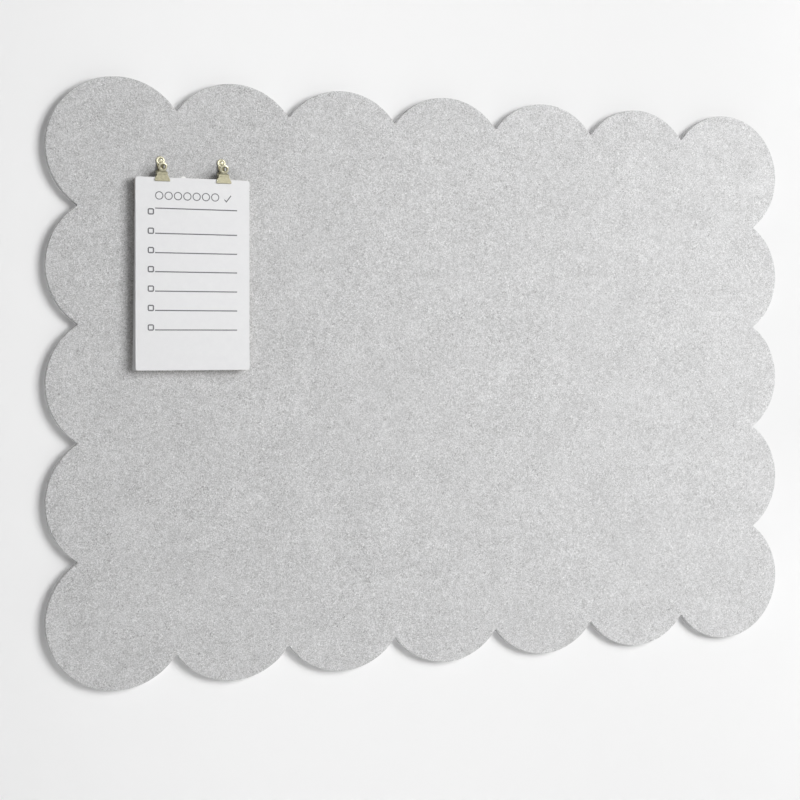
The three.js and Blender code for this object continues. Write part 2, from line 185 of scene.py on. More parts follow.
def two_tone_finish(name, tones, grains, sockets, stretch=(1, 1, 1), ends=None, rough=None, bump=None,
                    relief=None):
    """A finish that drifts between two tones with a noise, which also roughens it. Its bump is that noise
    too, or a relief of its own; ends narrow the drift to single specks."""
    finish, tree, shader = new_finish(name, sockets)
    drift = cloud(tree, place_on(tree, 0, stretch), *grains)
    share = remap(tree, drift, *ends) if ends else drift
    feed(tree, shader, {"Base Color": mixed(tree, share, *tones)})
    if rough:
        feed(tree, shader, {"Roughness": remap(tree, drift, DRIFT_LOW, DRIFT_HIGH, *rough)})
    if bump:
        height = cloud(tree, place_on(tree), *relief) if relief else drift
        feed(tree, shader, {"Normal": bumped(tree, height, *bump)})
    return finish


print("shared recipe:", two_tone_finish.__name__)

# %% [markdown]
# ## Wall, floor and light
# The board hangs on a plain white wall, and a large soft lamp to the right throws its shadow to the left.
# The wall and floor belong to the stage, not to the part. Both are seen from one side only, so that a view
# from behind looks straight at the back of the board, and the wall lets the rear lamp's light through to it.
# The sky lights from the front half only, as it would in a room. The wall's white falls off a little to the
# right and upwards, where the lamp is nearer, so that it stays even. To the eye the floor is mostly the sky's
# own white, with a share of real shade, and so is the wall well beyond the board, so that both stay pale
# where no lamp reaches.

# %% Rays of the stage
def seen_rays(tree):
    """1 for the rays by which the eye, a gloss or a glass sees a surface, 0 for those that carry light."""
    rays = tree.nodes.new("ShaderNodeLightPath").outputs
    seen = maths(tree, "MAXIMUM", rays["Is Camera Ray"], rays["Is Glossy Ray"])
    return maths(tree, "MAXIMUM", seen, rays["Is Transmission Ray"])


def one_sided(finish, tree, shader, lets_shadow_rays_through):
    """Shows the surface from its front only."""
    unseen = node(tree, "NewGeometry", {}, "Backfacing")
    if lets_shadow_rays_through:
        unseen = maths(tree, "MAXIMUM", unseen, node(tree, "LightPath", {}, "Is Shadow Ray"))
    clear = node(tree, "BsdfTransparent", {})
    chosen = node(tree, "MixShader", {0: unseen, 1: shader.outputs[0], 2: clear})
    feed(tree, tree.nodes["Material Output"], {"Surface": chosen})
    return finish


print("ray helpers:", seen_rays.__name__, "and", one_sided.__name__)

# %% Wall and floor paint
WALL_WHITE_LEFT, WALL_WHITE_RIGHT, WALL_WHITE_RIGHT_FOOT = 0.93, 0.715, 0.78
WALL_SHADED_REACH, WALL_PLAIN_REACH = 0.52, 0.85
SKY_SEEN = 0.93
FLOOR_WHITE = (0.84, 0.84, 0.84, 1)
FLOOR_SHADED = (0.21, 0.21, 0.21, 1)
FLOOR_GLOW = 0.66
STAGE_PAINT = {"Specular IOR Level": 0.1, "Emission Color": (1, 1, 1, 1)}
BOARD_REACH = (cad_high.x - cad_low.x) / 2
BOARD_DROP = (cad_high.z - cad_low.z) / 2


def wall_paint():
    finish, tree, shader = new_finish("wall_paint", {**STAGE_PAINT, "Roughness": 0.95})
    x, z = (node(tree, "SeparateXYZ", {0: place_on(tree)}, axis) for axis in "XZ")
    whites = (WALL_WHITE_LEFT, WALL_WHITE_RIGHT_FOOT, WALL_WHITE_RIGHT)
    left, right_foot, right_head = ((white, white, white, 1) for white in whites)
    right_side = mixed(tree, remap(tree, z, -BOARD_DROP, 0), right_foot, right_head)
    paint = mixed(tree, remap(tree, x, -BOARD_REACH, BOARD_REACH), left, right_side)
    beyond = remap(tree, maths(tree, "ABSOLUTE", x, 0.0), WALL_SHADED_REACH, WALL_PLAIN_REACH)
    beyond = maths(tree, "MULTIPLY", beyond, seen_rays(tree))
    feed(tree, shader, {
        "Base Color": mixed(tree, beyond, paint, (0, 0, 0, 1)),
        "Emission Strength": maths(tree, "MULTIPLY", beyond, SKY_SEEN),
    })
    return one_sided(finish, tree, shader, lets_shadow_rays_through=True)


def floor_paint():
    finish, tree, shader = new_finish("floor_paint", {**STAGE_PAINT, "Roughness": 0.9})
    seen = seen_rays(tree)
    feed(tree, shader, {
        "Base Color": mixed(tree, seen, FLOOR_WHITE, FLOOR_SHADED),
        "Emission Strength": maths(tree, "MULTIPLY", seen, FLOOR_GLOW),
    })
    return one_sided(finish, tree, shader, lets_shadow_rays_through=False)


painted_wall, painted_floor = wall_paint(), floor_paint()
print("stage finishes:", painted_wall.name, "and", painted_floor.name)

# %% Stage
WALL_BEHIND = 0.3 * MM
WALL_HALF = 4.0
FLOOR_BELOW = 1.25


def stage_corners(foot):
    return (-WALL_HALF, foot), (WALL_HALF, foot), (WALL_HALF, WALL_HALF), (-WALL_HALF, WALL_HALF)


def stage_plane(name, points, finish):
    mesh = bpy.data.meshes.new(name)
    mesh.from_pydata(points, [], [range(len(points))])
    mesh.materials.append(finish)
    plane = bpy.data.objects.new(name, mesh)
    bpy.context.scene.collection.objects.link(plane)
    return plane


wall = stage_plane("wall", [(x, WALL_BEHIND, z) for x, z in stage_corners(-FLOOR_BELOW)], painted_wall)
stage_plane("floor", [(x, y, -FLOOR_BELOW) for x, y in stage_corners(-WALL_HALF)], painted_floor)
print("the wall faces", tuple(round(n) for n in wall.data.polygons[0].normal))

# %% Lamps and sky
SKY_LIGHT, SKY_EDGE = 0.26, -0.1
KEY_LAMP = {"place": (1.35, -2.1, 0.65), "watts": 64, "size": 1.5}
REAR_LAMP = {"place": (0.0, 2.6, 0.6), "watts": 42, "size": 1.2}


def soft_lamp(name, place, watts, size):
    data = bpy.data.lights.new(name, "AREA")
    data.energy = watts
    data.size = size
    lamp = bpy.data.objects.new(name, data)
    lamp.location = place
    lamp.rotation_euler = (-Vector(place)).to_track_quat("-Z", "Y").to_euler()
    bpy.context.scene.collection.objects.link(lamp)


def pale_sky():
    world = bpy.data.worlds.new("pale_sky")
    world.use_nodes = True
    tree = world.node_tree
    towards = node(tree, "SeparateXYZ", {0: node(tree, "TexCoord", {}, "Generated")}, "Y")
    light = remap(tree, towards, 0.0, SKY_EDGE, 0.0, SKY_LIGHT)
    light = maths(tree, "MAXIMUM", light, maths(tree, "MULTIPLY", seen_rays(tree), SKY_SEEN))
    feed(tree, tree.nodes["Background"], {"Color": (1, 1, 1, 1), "Strength": light})
    return world


soft_lamp("key_lamp", **KEY_LAMP)
soft_lamp("rear_lamp", **REAR_LAMP)
bpy.context.scene.world = pale_sky()

# %% [markdown]
# ## Felt finish
# Marled felt is a mat of pale and dark fibres pressed together. A single noise would look like stone, so
# three families of short streaks lie in three directions, bent a little by a slow noise. The palest and the
# darkest of them show as single fibres. A slower noise makes them bunch, as carded wool does, a very slow
# one gives the board its cloudy look, and a fine grain fills in between. Fibres and grain raise the bump.

# %% Felt finish
FELT_DARK = (0.18, 0.18, 0.18, 1)
FELT_LIGHT = (0.95, 0.95, 0.955, 1)
FELT_MIDDLE = 0.5
FELT_NAP = {"Roughness": 0.96, "Specular IOR Level": 0.15, "Sheen Weight": 0.15, "Sheen Roughness": 0.6}
FIBRE_TURNS = (0.35, 1.4, 2.45)
FIBRES_PER_METRE, FIBRE_GRAINS = (260, 1100, 1100), (1.0, 2.0, 0.6)
WANDERS_PER_METRE, FIBRE_WANDER = 70, 0.006
PALE_FIBRES, DARK_FIBRES = (0.58, 0.74), (0.42, 0.28)
BUNCHES, BUNCHING = (75, 4.0, 0.6), (0.36, 0.66, 0.35, 1.0)
CLOUDS, PATCHES, GRAIN = (22, 3.0, 0.55), (120, 4.0, 0.65), (870, 2.0, 0.62)
FIBRE_SHARE, CLOUD_SHARE, PATCH_SHARE, GRAIN_SHARE = 0.30, 0.14, 0.30, 1.13
FELT_BUMP = (0.5, 0.4 * MM)


def felt_finish():
    finish, tree, shader = new_finish("marled_felt", FELT_NAP)
    drift = cloud(tree, place_on(tree), WANDERS_PER_METRE, 1.0, output="Color")
    wander = node(tree, "VectorMath", {0: drift, "Scale": FIBRE_WANDER}, operation="SCALE")
    pale, dark = 0.0, 0.0
    for turn in FIBRE_TURNS:
        streak = cloud(tree, place_on(tree, turn, FIBRES_PER_METRE, wander), *FIBRE_GRAINS)
        pale = maths(tree, "MAXIMUM", pale, remap(tree, streak, *PALE_FIBRES))
        dark = maths(tree, "MAXIMUM", dark, remap(tree, streak, *DARK_FIBRES))
    bunched = remap(tree, cloud(tree, place_on(tree), *BUNCHES), *BUNCHING)
    fibres = maths(tree, "MULTIPLY", maths(tree, "SUBTRACT", pale, dark), bunched)
    tone = maths(tree, "ADD", FELT_MIDDLE, maths(tree, "MULTIPLY", fibres, FIBRE_SHARE))
    clouds, patches, grain = (
        maths(tree, "SUBTRACT", cloud(tree, place_on(tree), *layer), 0.5)
        for layer in (CLOUDS, PATCHES, GRAIN))
    for layer, share in ((clouds, CLOUD_SHARE), (patches, PATCH_SHARE), (grain, GRAIN_SHARE)):
        tone = maths(tree, "ADD", tone, maths(tree, "MULTIPLY", layer, share))
    feed(tree, shader, {
        "Base Color": mixed(tree, tone, FELT_DARK, FELT_LIGHT),
        "Normal": bumped(tree, maths(tree, "ADD", fibres, grain), *FELT_BUMP),
    })
    return finish


marled_felt = felt_finish()
print("felt finish:", len(marled_felt.node_tree.nodes), "nodes")

# %% [markdown]
# ## Outlines
# Cut sheets have rounded corners and broken edges. A Bevel modifier on a plain block could round them, but a
# loop worked out from arcs has the same number of points at every inset, so that loops join one to one.

# %% Outlines
def arc(centre, radius, start, sweep, steps):
    angles = [start + sweep * i / steps for i in range(steps + 1)]
    return [centre + radius * Vector((math.cos(angle), math.sin(angle))) for angle in angles]


def circle(centre, radius, steps):
    return arc(centre, radius, 0, math.tau, steps)[:-1]


def rounded_rectangle(width, height, corner, inset=0.0, corner_steps=5, side_steps=6):
    """A loop about the origin, with points along its sides as well as round its corners."""
    half_x, half_z = width / 2 - corner, height / 2 - corner
    corners = [
        (half_x, -half_z, -0.5), (half_x, half_z, 0.0), (-half_x, half_z, 0.5), (-half_x, -half_z, 1.0)]
    loop = []
    for i, (x, z, turns) in enumerate(corners):
        loop += arc(Vector((x, z)), corner - inset, turns * math.pi, math.pi / 2, corner_steps)
        after = corners[(i + 1) % len(corners)]
        begin = arc(Vector(after[:2]), corner - inset, after[2] * math.pi, math.pi / 2, 1)[0]
        loop += [loop[-1].lerp(begin, j / side_steps) for j in range(1, side_steps)]
    return loop


def rounded_profile(depth, round_front, round_back, steps=3):
    """Insets and depths from a front face to a back face with rounded edges."""
    quarter = [math.pi / 2 * i / steps for i in range(steps + 1)]
    front = [(round_front * (1 - math.sin(a)), round_front * (1 - math.cos(a))) for a in quarter]
    back = [(round_back * (1 - math.cos(a)), depth - round_back * (1 - math.sin(a))) for a in quarter]
    return front + back


print("a rounded rectangle has", len(rounded_rectangle(2.0, 1.0, 0.1)), "points")

# %% [markdown]
# ## Slabs, lofts and nets
# Most pieces here are slabs: an outline, carried through a few rings from front to back, each ring a little
# inset where an edge is rounded. A large face is filled with a Delaunay net over the outline and a grid of
# points inside it, which keeps its triangles even and lets the surface roll gently.

# %% Slabs and lofts
def bridge(bm, ring, next_ring, material=0):
    for i in range(len(ring)):
        j = (i + 1) % len(ring)
        bm.faces.new((ring[i], ring[j], next_ring[j], next_ring[i])).material_index = material


def loft(bm, rings, capped=True):
    for ring, next_ring in zip(rings, rings[1:]):
        bridge(bm, ring, next_ring)
    if capped:
        bm.faces.new(rings[0])
        bm.faces.new(rings[-1])


def slab(bm, outline, profile, place, materials=None):
    """Rings of outline(inset) at the profile's depths, closed at both ends; place() sets a point in space."""
    rings = []
    for inset, depth in profile:
        rings.append([bm.verts.new(place(point, depth)) for point in outline(inset)])
    bm.faces.new(rings[0]).material_index = (materials or [0])[0]
    for i, (ring, next_ring) in enumerate(zip(rings, rings[1:])):
        bridge(bm, ring[::-1], next_ring[::-1], materials[i] if materials else 0)
    bm.faces.new(rings[-1][::-1]).material_index = (materials or [0])[-1]


def boxed_slab(low, high, corner, profile, materials=None, side_steps=6):
    """A slab with rounded corners that fills a box, from its front face backwards."""
    middle = (low + high) / 2

    def outline(inset):
        return rounded_rectangle(high.x - low.x, high.z - low.z, corner, inset, side_steps=side_steps)

    def place(point, depth):
        return Vector((middle.x + point.x, low.y + depth, middle.z + point.y))

    bm = bmesh.new()
    slab(bm, outline, profile, place, materials)
    return bm


print("slab helpers:", [helper.__name__ for helper in (bridge, loft, slab, boxed_slab)])

# %% Nets
INSIDE_ONLY, NET_SNAP = 1, 1e-9


def net(loops, inner_points, holes=()):
    """Delaunay triangles, each with its middle, inside the first loop; a later loop is the edge of a hole,
    and holes are given again as (centre, radius)."""
    points, edges = [], []
    for loop in loops:
        first = len(points)
        points += loop
        edges += [(first + i, first + (i + 1) % len(loop)) for i in range(len(loop))]
    made = delaunay_2d_cdt(points + inner_points, edges, [], INSIDE_ONLY, NET_SNAP)
    points, _, triangles, sources = made[:4]
    kept = []
    for triangle in triangles:
        middle = sum((points[i] for i in triangle), Vector((0, 0))) / 3
        if all((middle - hole).length > radius for hole, radius in holes):
            kept.append((triangle, middle))
    return points, kept, sources


print("the smallest net has", len(net([circle(Vector((0, 0)), 1.0, 4)], [])[1]), "triangles")

# %% [markdown]
# ## Pieces
# Every finished mesh is treated alike: its normals are made to agree, it is shaded smooth with its creases
# kept sharp, it is tied to the body that it moves with, and the CAD node that it stands for is hidden.

# %% Pieces
CREASE_DEGREES = 40


def mesh_from(name, bm):
    bmesh.ops.recalc_face_normals(bm, faces=bm.faces)
    mesh = bpy.data.meshes.new(name)
    bm.to_mesh(mesh)
    bm.free()
    return mesh


def new_piece(name, mesh, body, cad_node, slot, finishes, sharp=math.radians(CREASE_DEGREES)):
    """Links a mesh as a piece that rides on a body, stands for a CAD node and takes its finishes."""
    for finish in finishes:
        mesh.materials.append(finish)
    mesh.shade_smooth()
    mesh.set_sharp_from_angle(angle=sharp)
    piece = bpy.data.objects.new(name, mesh)
    bpy.context.scene.collection.objects.link(piece)
    if body:
        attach(piece, body)
    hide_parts(cad_node)
    print(name, "has", len(mesh.polygons), "faces and stands for", cad_node)
    return piece


print("creases over", CREASE_DEGREES, "degrees stay sharp")

# %% [markdown]
# ## The felt board
# The real panel is one thick sheet of felt, cut with a steel rule die. Its outline is a row of overlapping
# circles, seven by five counting the corners, so it could be drawn by hand as a curve. Working the arcs out
# from the panel's own box is exact, and gives every inset ring the same number of points. The die leaves a
# soft round at the front edge and a slightly ragged wall of fibre ends, so the wall's rings wander a little.

# %% Felt outline
felt_low, felt_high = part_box("felt_panel")
COLUMNS, ROWS = 7, 5
CUSP_ROUND = 1.5 * MM
ARC_STEP = math.radians(1.2)
felt_width, felt_height = felt_high.x - felt_low.x, felt_high.z - felt_low.z
pitch = (felt_width - felt_height) / (COLUMNS - ROWS)
scallop_radius = (felt_width - (COLUMNS - 1) * pitch) / 2
corner_x, corner_z = (COLUMNS - 1) / 2 * pitch, (ROWS - 1) / 2 * pitch


def scallop_centres():
    along_bottom = [Vector((i * pitch - corner_x, -corner_z)) for i in range(COLUMNS - 1)]
    up_right_side = [Vector((corner_x, i * pitch - corner_z)) for i in range(ROWS - 1)]
    first_half = along_bottom + up_right_side
    return first_half + [-centre for centre in first_half]


def scallop_outline(inset):
    centres = scallop_centres()
    reach = scallop_radius + CUSP_ROUND
    lean = math.acos(pitch / 2 / reach)
    loop = []
    for i, centre in enumerate(centres):
        before = centres[i - 1] - centre
        after = centres[(i + 1) % len(centres)] - centre
        start = math.atan2(before.y, before.x) + lean
        end = math.atan2(after.y, after.x) - lean
        sweep = (end - start) % math.tau
        loop += arc(centre, scallop_radius - inset, start, sweep, math.ceil(sweep / ARC_STEP))
        hollow = centre + reach * Vector((math.cos(end), math.sin(end)))
        loop += arc(hollow, CUSP_ROUND + inset, end + math.pi, 2 * lean - math.pi, 6)[1:-1]
    return loop


def inside_felt(point, margin):
    if abs(point.x) < corner_x and abs(point.y) < corner_z:
        return True
    return any((point - centre).length < scallop_radius - margin for centre in scallop_centres())


print("scallops", round(2 * scallop_radius / MM, 1), "mm across at", round(pitch / MM, 1), "mm")

# %% Felt wall and roll
FELT_FRONT_ROUND, FELT_BACK_ROUND, FELT_ROUND_STEPS = 0.8 * MM, 0.5 * MM, 4
FELT_WALL_STEPS = 5
FELT_ROLL, ROLLS_PER_METRE = 0.2 * MM, 7
FIBRE_ENDS, ENDS_PER_METRE = 0.12 * MM, 900
felt_depth = felt_high.y - felt_low.y


def felt_profile():
    rounds = rounded_profile(felt_depth, FELT_FRONT_ROUND, FELT_BACK_ROUND, FELT_ROUND_STEPS)
    front, back = rounds[:FELT_ROUND_STEPS + 1], rounds[FELT_ROUND_STEPS + 1:]
    wall_steps = [i / FELT_WALL_STEPS for i in range(1, FELT_WALL_STEPS)]
    wall_rings = [(0.0, front[-1][1] + (back[0][1] - front[-1][1]) * share) for share in wall_steps]
    return [(2 * FELT_FRONT_ROUND, 0.0)] + front + wall_rings + back


def felt_point(point, depth):
    """A flat point at a depth from the front face, with the face's gentle roll and the wall's fibre ends."""
    spot = Vector((point.x, point.y, depth))
    roll = FELT_ROLL * noise.noise(spot * ROLLS_PER_METRE) * (1 - depth / felt_depth)
    ends = FIBRE_ENDS * noise.noise(spot * ENDS_PER_METRE) if 0 < depth < felt_depth else 0.0
    outward = Vector((point.x / felt_width, point.y / felt_height)).normalized()
    return Vector((point.x + ends * outward.x, felt_low.y + depth + roll, point.y + ends * outward.y))


print("felt:", round(felt_depth / MM, 1), "mm thick,", len(felt_profile()), "rings from front to back")

# %% Felt faces
FELT_NET = 14 * MM
PIN_HOLE, PIN_STEPS = 0.75 * MM, 12
PIN_DENT, DENT_RINGS, DENT_STEPS = 0.3 * MM, (2, 4, 8), 16
CHORD_SHARE = 0.99
CLIPS = ("left_clip", "right_clip")


def pin_holes():
    for clip in CLIPS:
        low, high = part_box(clip + "_needle")
        yield Vector(((low.x + high.x) / 2, (low.z + high.z) / 2))


def felt_face(bm, ring, loop, depth, holes):
    """Fills a face inside its ring of vertices, round any holes, and returns each hole's own ring."""
    inner = []
    for i in range(int(felt_width / FELT_NET)):
        for j in range(int(felt_height / FELT_NET)):
            point = Vector((felt_low.x + (i + 0.5) * FELT_NET, felt_low.z + (j + 0.5) * FELT_NET))
            if inside_felt(point, FELT_NET / 2) and all((point - hole).length > FELT_NET for hole in holes):
                inner.append(point)
    for hole in holes:
        for spread in DENT_RINGS:
            inner += circle(hole, spread * PIN_HOLE, DENT_STEPS)
    rims = [circle(hole, PIN_HOLE, PIN_STEPS) for hole in holes]
    points, triangles, sources = net([loop, *rims], inner, [(hole, PIN_HOLE * CHORD_SHARE) for hole in holes])
    verts = []
    for point, source in zip(points, sources):
        if source[0] < len(loop):
            verts.append(ring[source[0]])
            continue
        dent = max((1 - (point - hole).length / (DENT_RINGS[-1] * PIN_HOLE) for hole in holes), default=0)
        place = felt_point(point, depth)
        verts.append(bm.verts.new(place + Vector((0, PIN_DENT * max(dent, 0) ** 2, 0))))
    for triangle, _ in triangles:
        bm.faces.new([verts[i] for i in triangle])
    where = {source[0]: vert for source, vert in zip(sources, verts)}
    return [[where[len(loop) + PIN_STEPS * k + i] for i in range(PIN_STEPS)] for k in range(len(holes))]


print("pin holes at", [tuple(round(side / MM) for side in hole) for hole in pin_holes()], "mm")

# %% Felt board
PIN_HOLE_DEPTH = 8 * MM


def felt_board():
    bm = bmesh.new()
    profile = felt_profile()
    rings = [[bm.verts.new(felt_point(p, depth)) for p in scallop_outline(inset)] for inset, depth in profile]
    loft(bm, rings, capped=False)
    for rim in felt_face(bm, rings[0], scallop_outline(profile[0][0]), 0.0, list(pin_holes())):
        bottom = [bm.verts.new(vert.co + Vector((0, PIN_HOLE_DEPTH, 0))) for vert in rim]
        bridge(bm, rim, bottom)
        bm.faces.new(bottom)
    felt_face(bm, rings[-1], scallop_outline(profile[-1][0]), felt_depth, [])
    new_piece("felt_board", mesh_from("felt_board", bm), "board", "felt_panel", "felt", [marled_felt])


felt_board()

# %% [markdown]
# ## Mounting strips
# Five foam strips hold the board to the wall. A strip is a sandwich: a closed-cell foam core between two thin
# coats of clear adhesive, cut a hair smaller by the same blade. One slab with its own ring for each layer
# shows the sandwich at the edge, and the foam's cells are a Voronoi texture.

# %% Foam strip finishes
FOAM_PALE = (0.88, 0.87, 0.84, 1)
FOAM_CELL = (0.76, 0.75, 0.71, 1)
GLUE_COLOUR = (0.83, 0.81, 0.74, 1)
GLUE_SHADE = (0.7719, 0.7533, 0.6882, 1)
CELLS_PER_METRE, CELL_EDGE, FOAM_BUMP = 2600, (0.1, 0.7), (0.5, 0.15 * MM)


def foam_finish():
    finish, tree, shader = new_finish("white_foam", {"Roughness": 0.8, "Specular IOR Level": 0.3})
    cells = node(tree, "TexVoronoi", {"Vector": place_on(tree), "Scale": CELLS_PER_METRE}, "Distance")
    feed(tree, shader, {
        "Base Color": mixed(tree, remap(tree, cells, *CELL_EDGE), FOAM_CELL, FOAM_PALE),
        "Normal": bumped(tree, cells, *FOAM_BUMP),
    })
    return finish


white_foam = foam_finish()
clear_adhesive = two_tone_finish(
    "clear_adhesive", (GLUE_SHADE, GLUE_COLOUR), (420, 3.0), {"Specular IOR Level": 0.6, "Coat Weight": 0.3},
    stretch=(1, 1, 0.3), rough=(0.18, 0.42), bump=(0.25, 0.2 * MM))
print("strip finishes:", white_foam.name, "and", clear_adhesive.name)

# %% Foam strips
STRIP_CORNER = 3 * MM
GLUE_COAT = 0.12 * MM
GLUE_INSET = 0.25 * MM
FOAM_BULGE = 0.1 * MM
FOAM, GLUE = 0, 1
STRIP_LAYERS = [GLUE, FOAM, FOAM, FOAM, FOAM, GLUE, GLUE]


def foam_strip(cad_node):
    low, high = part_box(cad_node)
    depth = high.y - low.y
    foam_back = depth - GLUE_COAT
    profile = [
        (GLUE_INSET, 0.0), (GLUE_INSET, GLUE_COAT), (0.0, GLUE_COAT), (-FOAM_BULGE, depth / 2),
        (0.0, foam_back), (GLUE_INSET, foam_back), (GLUE_INSET, depth),
    ]
    name = cad_node.replace("mounting", "foam")
    mesh = mesh_from(name, boxed_slab(low, high, STRIP_CORNER, profile, STRIP_LAYERS))
    new_piece(name, mesh, "board", cad_node, "tape", [white_foam, clear_adhesive])


for cad_node in sorted(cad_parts):
    if cad_node.startswith("mounting_strip_"):
        foam_strip(cad_node)

# %% [markdown]
# ## Paper, ink, card and gum
# Writing paper is white with a faint cloudy formation and a fine tooth. The ruling is a grey ink that prints
# a little unevenly. The backing is grey-brown board with darker specks, and the head of the pad is brushed
# with white padding gum.

# %% Pad finishes
PAPER_WHITE = (0.82, 0.82, 0.825, 1)
PAPER_SHADE = (0.765, 0.765, 0.775, 1)
INK_GREY = (0.10, 0.10, 0.11, 1)
INK_THIN = (0.20, 0.20, 0.21, 1)
CARD_BROWN = (0.50, 0.41, 0.29, 1)
CARD_SPECK = (0.30, 0.24, 0.17, 1)
GUM_WHITE = (0.90, 0.90, 0.885, 1)
GUM_SHADE = (0.84, 0.84, 0.82, 1)

writing_paper = two_tone_finish(
    "writing_paper", (PAPER_SHADE, PAPER_WHITE), (160, 4.0, 0.6),
    {"Roughness": 0.75, "Specular IOR Level": 0.25}, bump=(0.15, 0.05 * MM), relief=(3500, 2.0))
grey_ink = two_tone_finish(
    "grey_ink", (INK_GREY, INK_THIN), (900, 3.0), {"Specular IOR Level": 0.3}, rough=(0.5, 0.75))
grey_board = two_tone_finish(
    "grey_board", (CARD_BROWN, CARD_SPECK), (1400, 3.0, 0.7), {"Roughness": 0.9, "Specular IOR Level": 0.2},
    ends=(0.56, 0.74), bump=(0.3, 0.1 * MM), relief=(900, 4.0, 0.7))
padding_gum = two_tone_finish(
    "padding_gum", (GUM_SHADE, GUM_WHITE), (700, 3.0), {"Specular IOR Level": 0.45},
    stretch=(0.4, 1, 1), rough=(0.35, 0.6), bump=(0.4, 0.2 * MM))
print("pad finishes:", [finish.name for finish in (writing_paper, grey_ink, grey_board, padding_gum)])

# %% [markdown]
# ## Printing
# Each sheet carries the same plain form: seven ruled lines, seven tick boxes, a row of open circles at the
# head and a small tick. The ink could be part of the paper's texture, but thin raised patches stay sharp at
# any distance and bend with the sheet they lie on. A patch is a closed prism, sunk a little into the paper.

# %% Ink
INK_RAISED, INK_SUNK = 0.03 * MM, 0.03 * MM
INK = 1


def ink_band(bm, outer, inner, face_y):
    """A closed raised band between two loops on the sheet's face."""
    rings = []
    for loop, y in ((outer, INK_SUNK), (outer, -INK_RAISED), (inner, -INK_RAISED), (inner, INK_SUNK)):
        rings.append([bm.verts.new((p.x, face_y + y, p.y)) for p in loop])
    for i, ring in enumerate(rings):
        bridge(bm, ring, rings[(i + 1) % len(rings)], INK)


def ink_patch(bm, loop, face_y):
    back = [bm.verts.new((p.x, face_y + INK_SUNK, p.y)) for p in loop]
    front = [bm.verts.new((p.x, face_y - INK_RAISED, p.y)) for p in loop]
    bridge(bm, back, front, INK)
    for ring in (front, back):
        bm.faces.new(ring).material_index = INK


print("ink stands", INK_RAISED / MM, "mm proud")

# %% Printed form
pad_low, pad_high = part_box("pad_backing_card")
pad_middle = (pad_low + pad_high) / 2
PAD_CORNER = 2.5 * MM
RULE_LEFT, RULE_RIGHT = -41.6 * MM, 48.6 * MM
RULE_DROPS = [drop * MM for drop in (33.3, 60.4, 81.2, 101.7, 122.6, 143.4, 164.4)]
RULE_STROKE = 1.2 * MM
BOX_MIDDLE, BOX_SIDE, BOX_STROKE, BOX_CORNER = -46.1 * MM, 6.9 * MM, 1.4 * MM, 1.8 * MM
BOX_ABOVE_RULE, BOX_BELOW_FIRST_RULE = 2.6 * MM, 3.7 * MM
HEAD_DROP, HEAD_LEFT, HEAD_STEP, HEAD_COUNT = 19.6 * MM, -37.1 * MM, 10.2 * MM, 7
HEAD_RADIUS, HEAD_STROKE, HEAD_STEPS = 4.5 * MM, 1.0 * MM, 32
TICK = [(34.0, 21.9), (36.6, 24.9), (42.2, 17.5), (41.3, 16.9), (36.5, 23.2), (34.8, 21.2)]


def on_pad(x, drop):
    """A flat point from its distance right of the pad's middle and below its top edge."""
    return Vector((pad_middle.x + x, pad_high.z - drop))


def box_loop(middle, inset):
    return [middle + p for p in rounded_rectangle(BOX_SIDE, BOX_SIDE, BOX_CORNER, inset, 4, 1)]


def print_form(bm, face_y):
    for i, drop in enumerate(RULE_DROPS):
        rule = [(RULE_LEFT, 1), (RULE_RIGHT, 1), (RULE_RIGHT, -1), (RULE_LEFT, -1)]
        ink_patch(bm, [on_pad(x, drop + side * RULE_STROKE / 2) for x, side in rule], face_y)
        box = on_pad(BOX_MIDDLE, drop - BOX_ABOVE_RULE if i else drop + BOX_BELOW_FIRST_RULE)
        ink_band(bm, box_loop(box, 0.0), box_loop(box, BOX_STROKE), face_y)
    for i in range(HEAD_COUNT):
        middle = on_pad(HEAD_LEFT + i * HEAD_STEP, HEAD_DROP)
        loops = [circle(middle, radius, HEAD_STEPS) for radius in (HEAD_RADIUS, HEAD_RADIUS - HEAD_STROKE)]
        ink_band(bm, *loops, face_y)
    ink_patch(bm, [on_pad(x * MM, drop * MM) for x, drop in TICK], face_y)


print("rules", len(RULE_DROPS), "tick boxes", len(RULE_DROPS), "head circles", HEAD_COUNT)

# %% [markdown]
# ## The block of sheets
# Under the sheets that lift lies the rest of the pad, glued along its head. A real block is never square: its
# sheets slide over each other, and in the picture the ones at the back lean out to the left at the foot. So
# every sheet is its own thin slab, and each leans a little less than the one behind it. The random nudge has
# a fixed seed, so that the pad comes out the same each time.

# %% Sheet block
card_front = pad_low.y
block_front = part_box("pad_top_sheets")[1].y
pad_width, pad_height = pad_high.x - pad_low.x, pad_high.z - pad_low.z
BLOCK_SHEETS = 46
SHEET_THICKNESS = 0.095 * MM
SHEET_LEAN, LEAN_BEND, LEAN_FALL = 2.3 * MM, 1.4, 0.8
SHEET_NUDGE = 0.12 * MM
PAD_SIDE_STEPS = 10
SHEET_SEED = 11


def pad_outline(inset):
    return rounded_rectangle(pad_width, pad_height, PAD_CORNER, inset, side_steps=PAD_SIDE_STEPS)


def leaning_sheet(bm, front_y, lean, nudge):
    def place(point, depth):
        drop = max(0.0, 0.5 - point.y / pad_height)
        return Vector((
            pad_middle.x + point.x - (lean + nudge.x) * drop ** LEAN_BEND,
            front_y + depth,
            pad_middle.z + point.y + nudge.y * drop,
        ))

    slab(bm, pad_outline, [(0.0, 0.0), (0.0, SHEET_THICKNESS)], place)


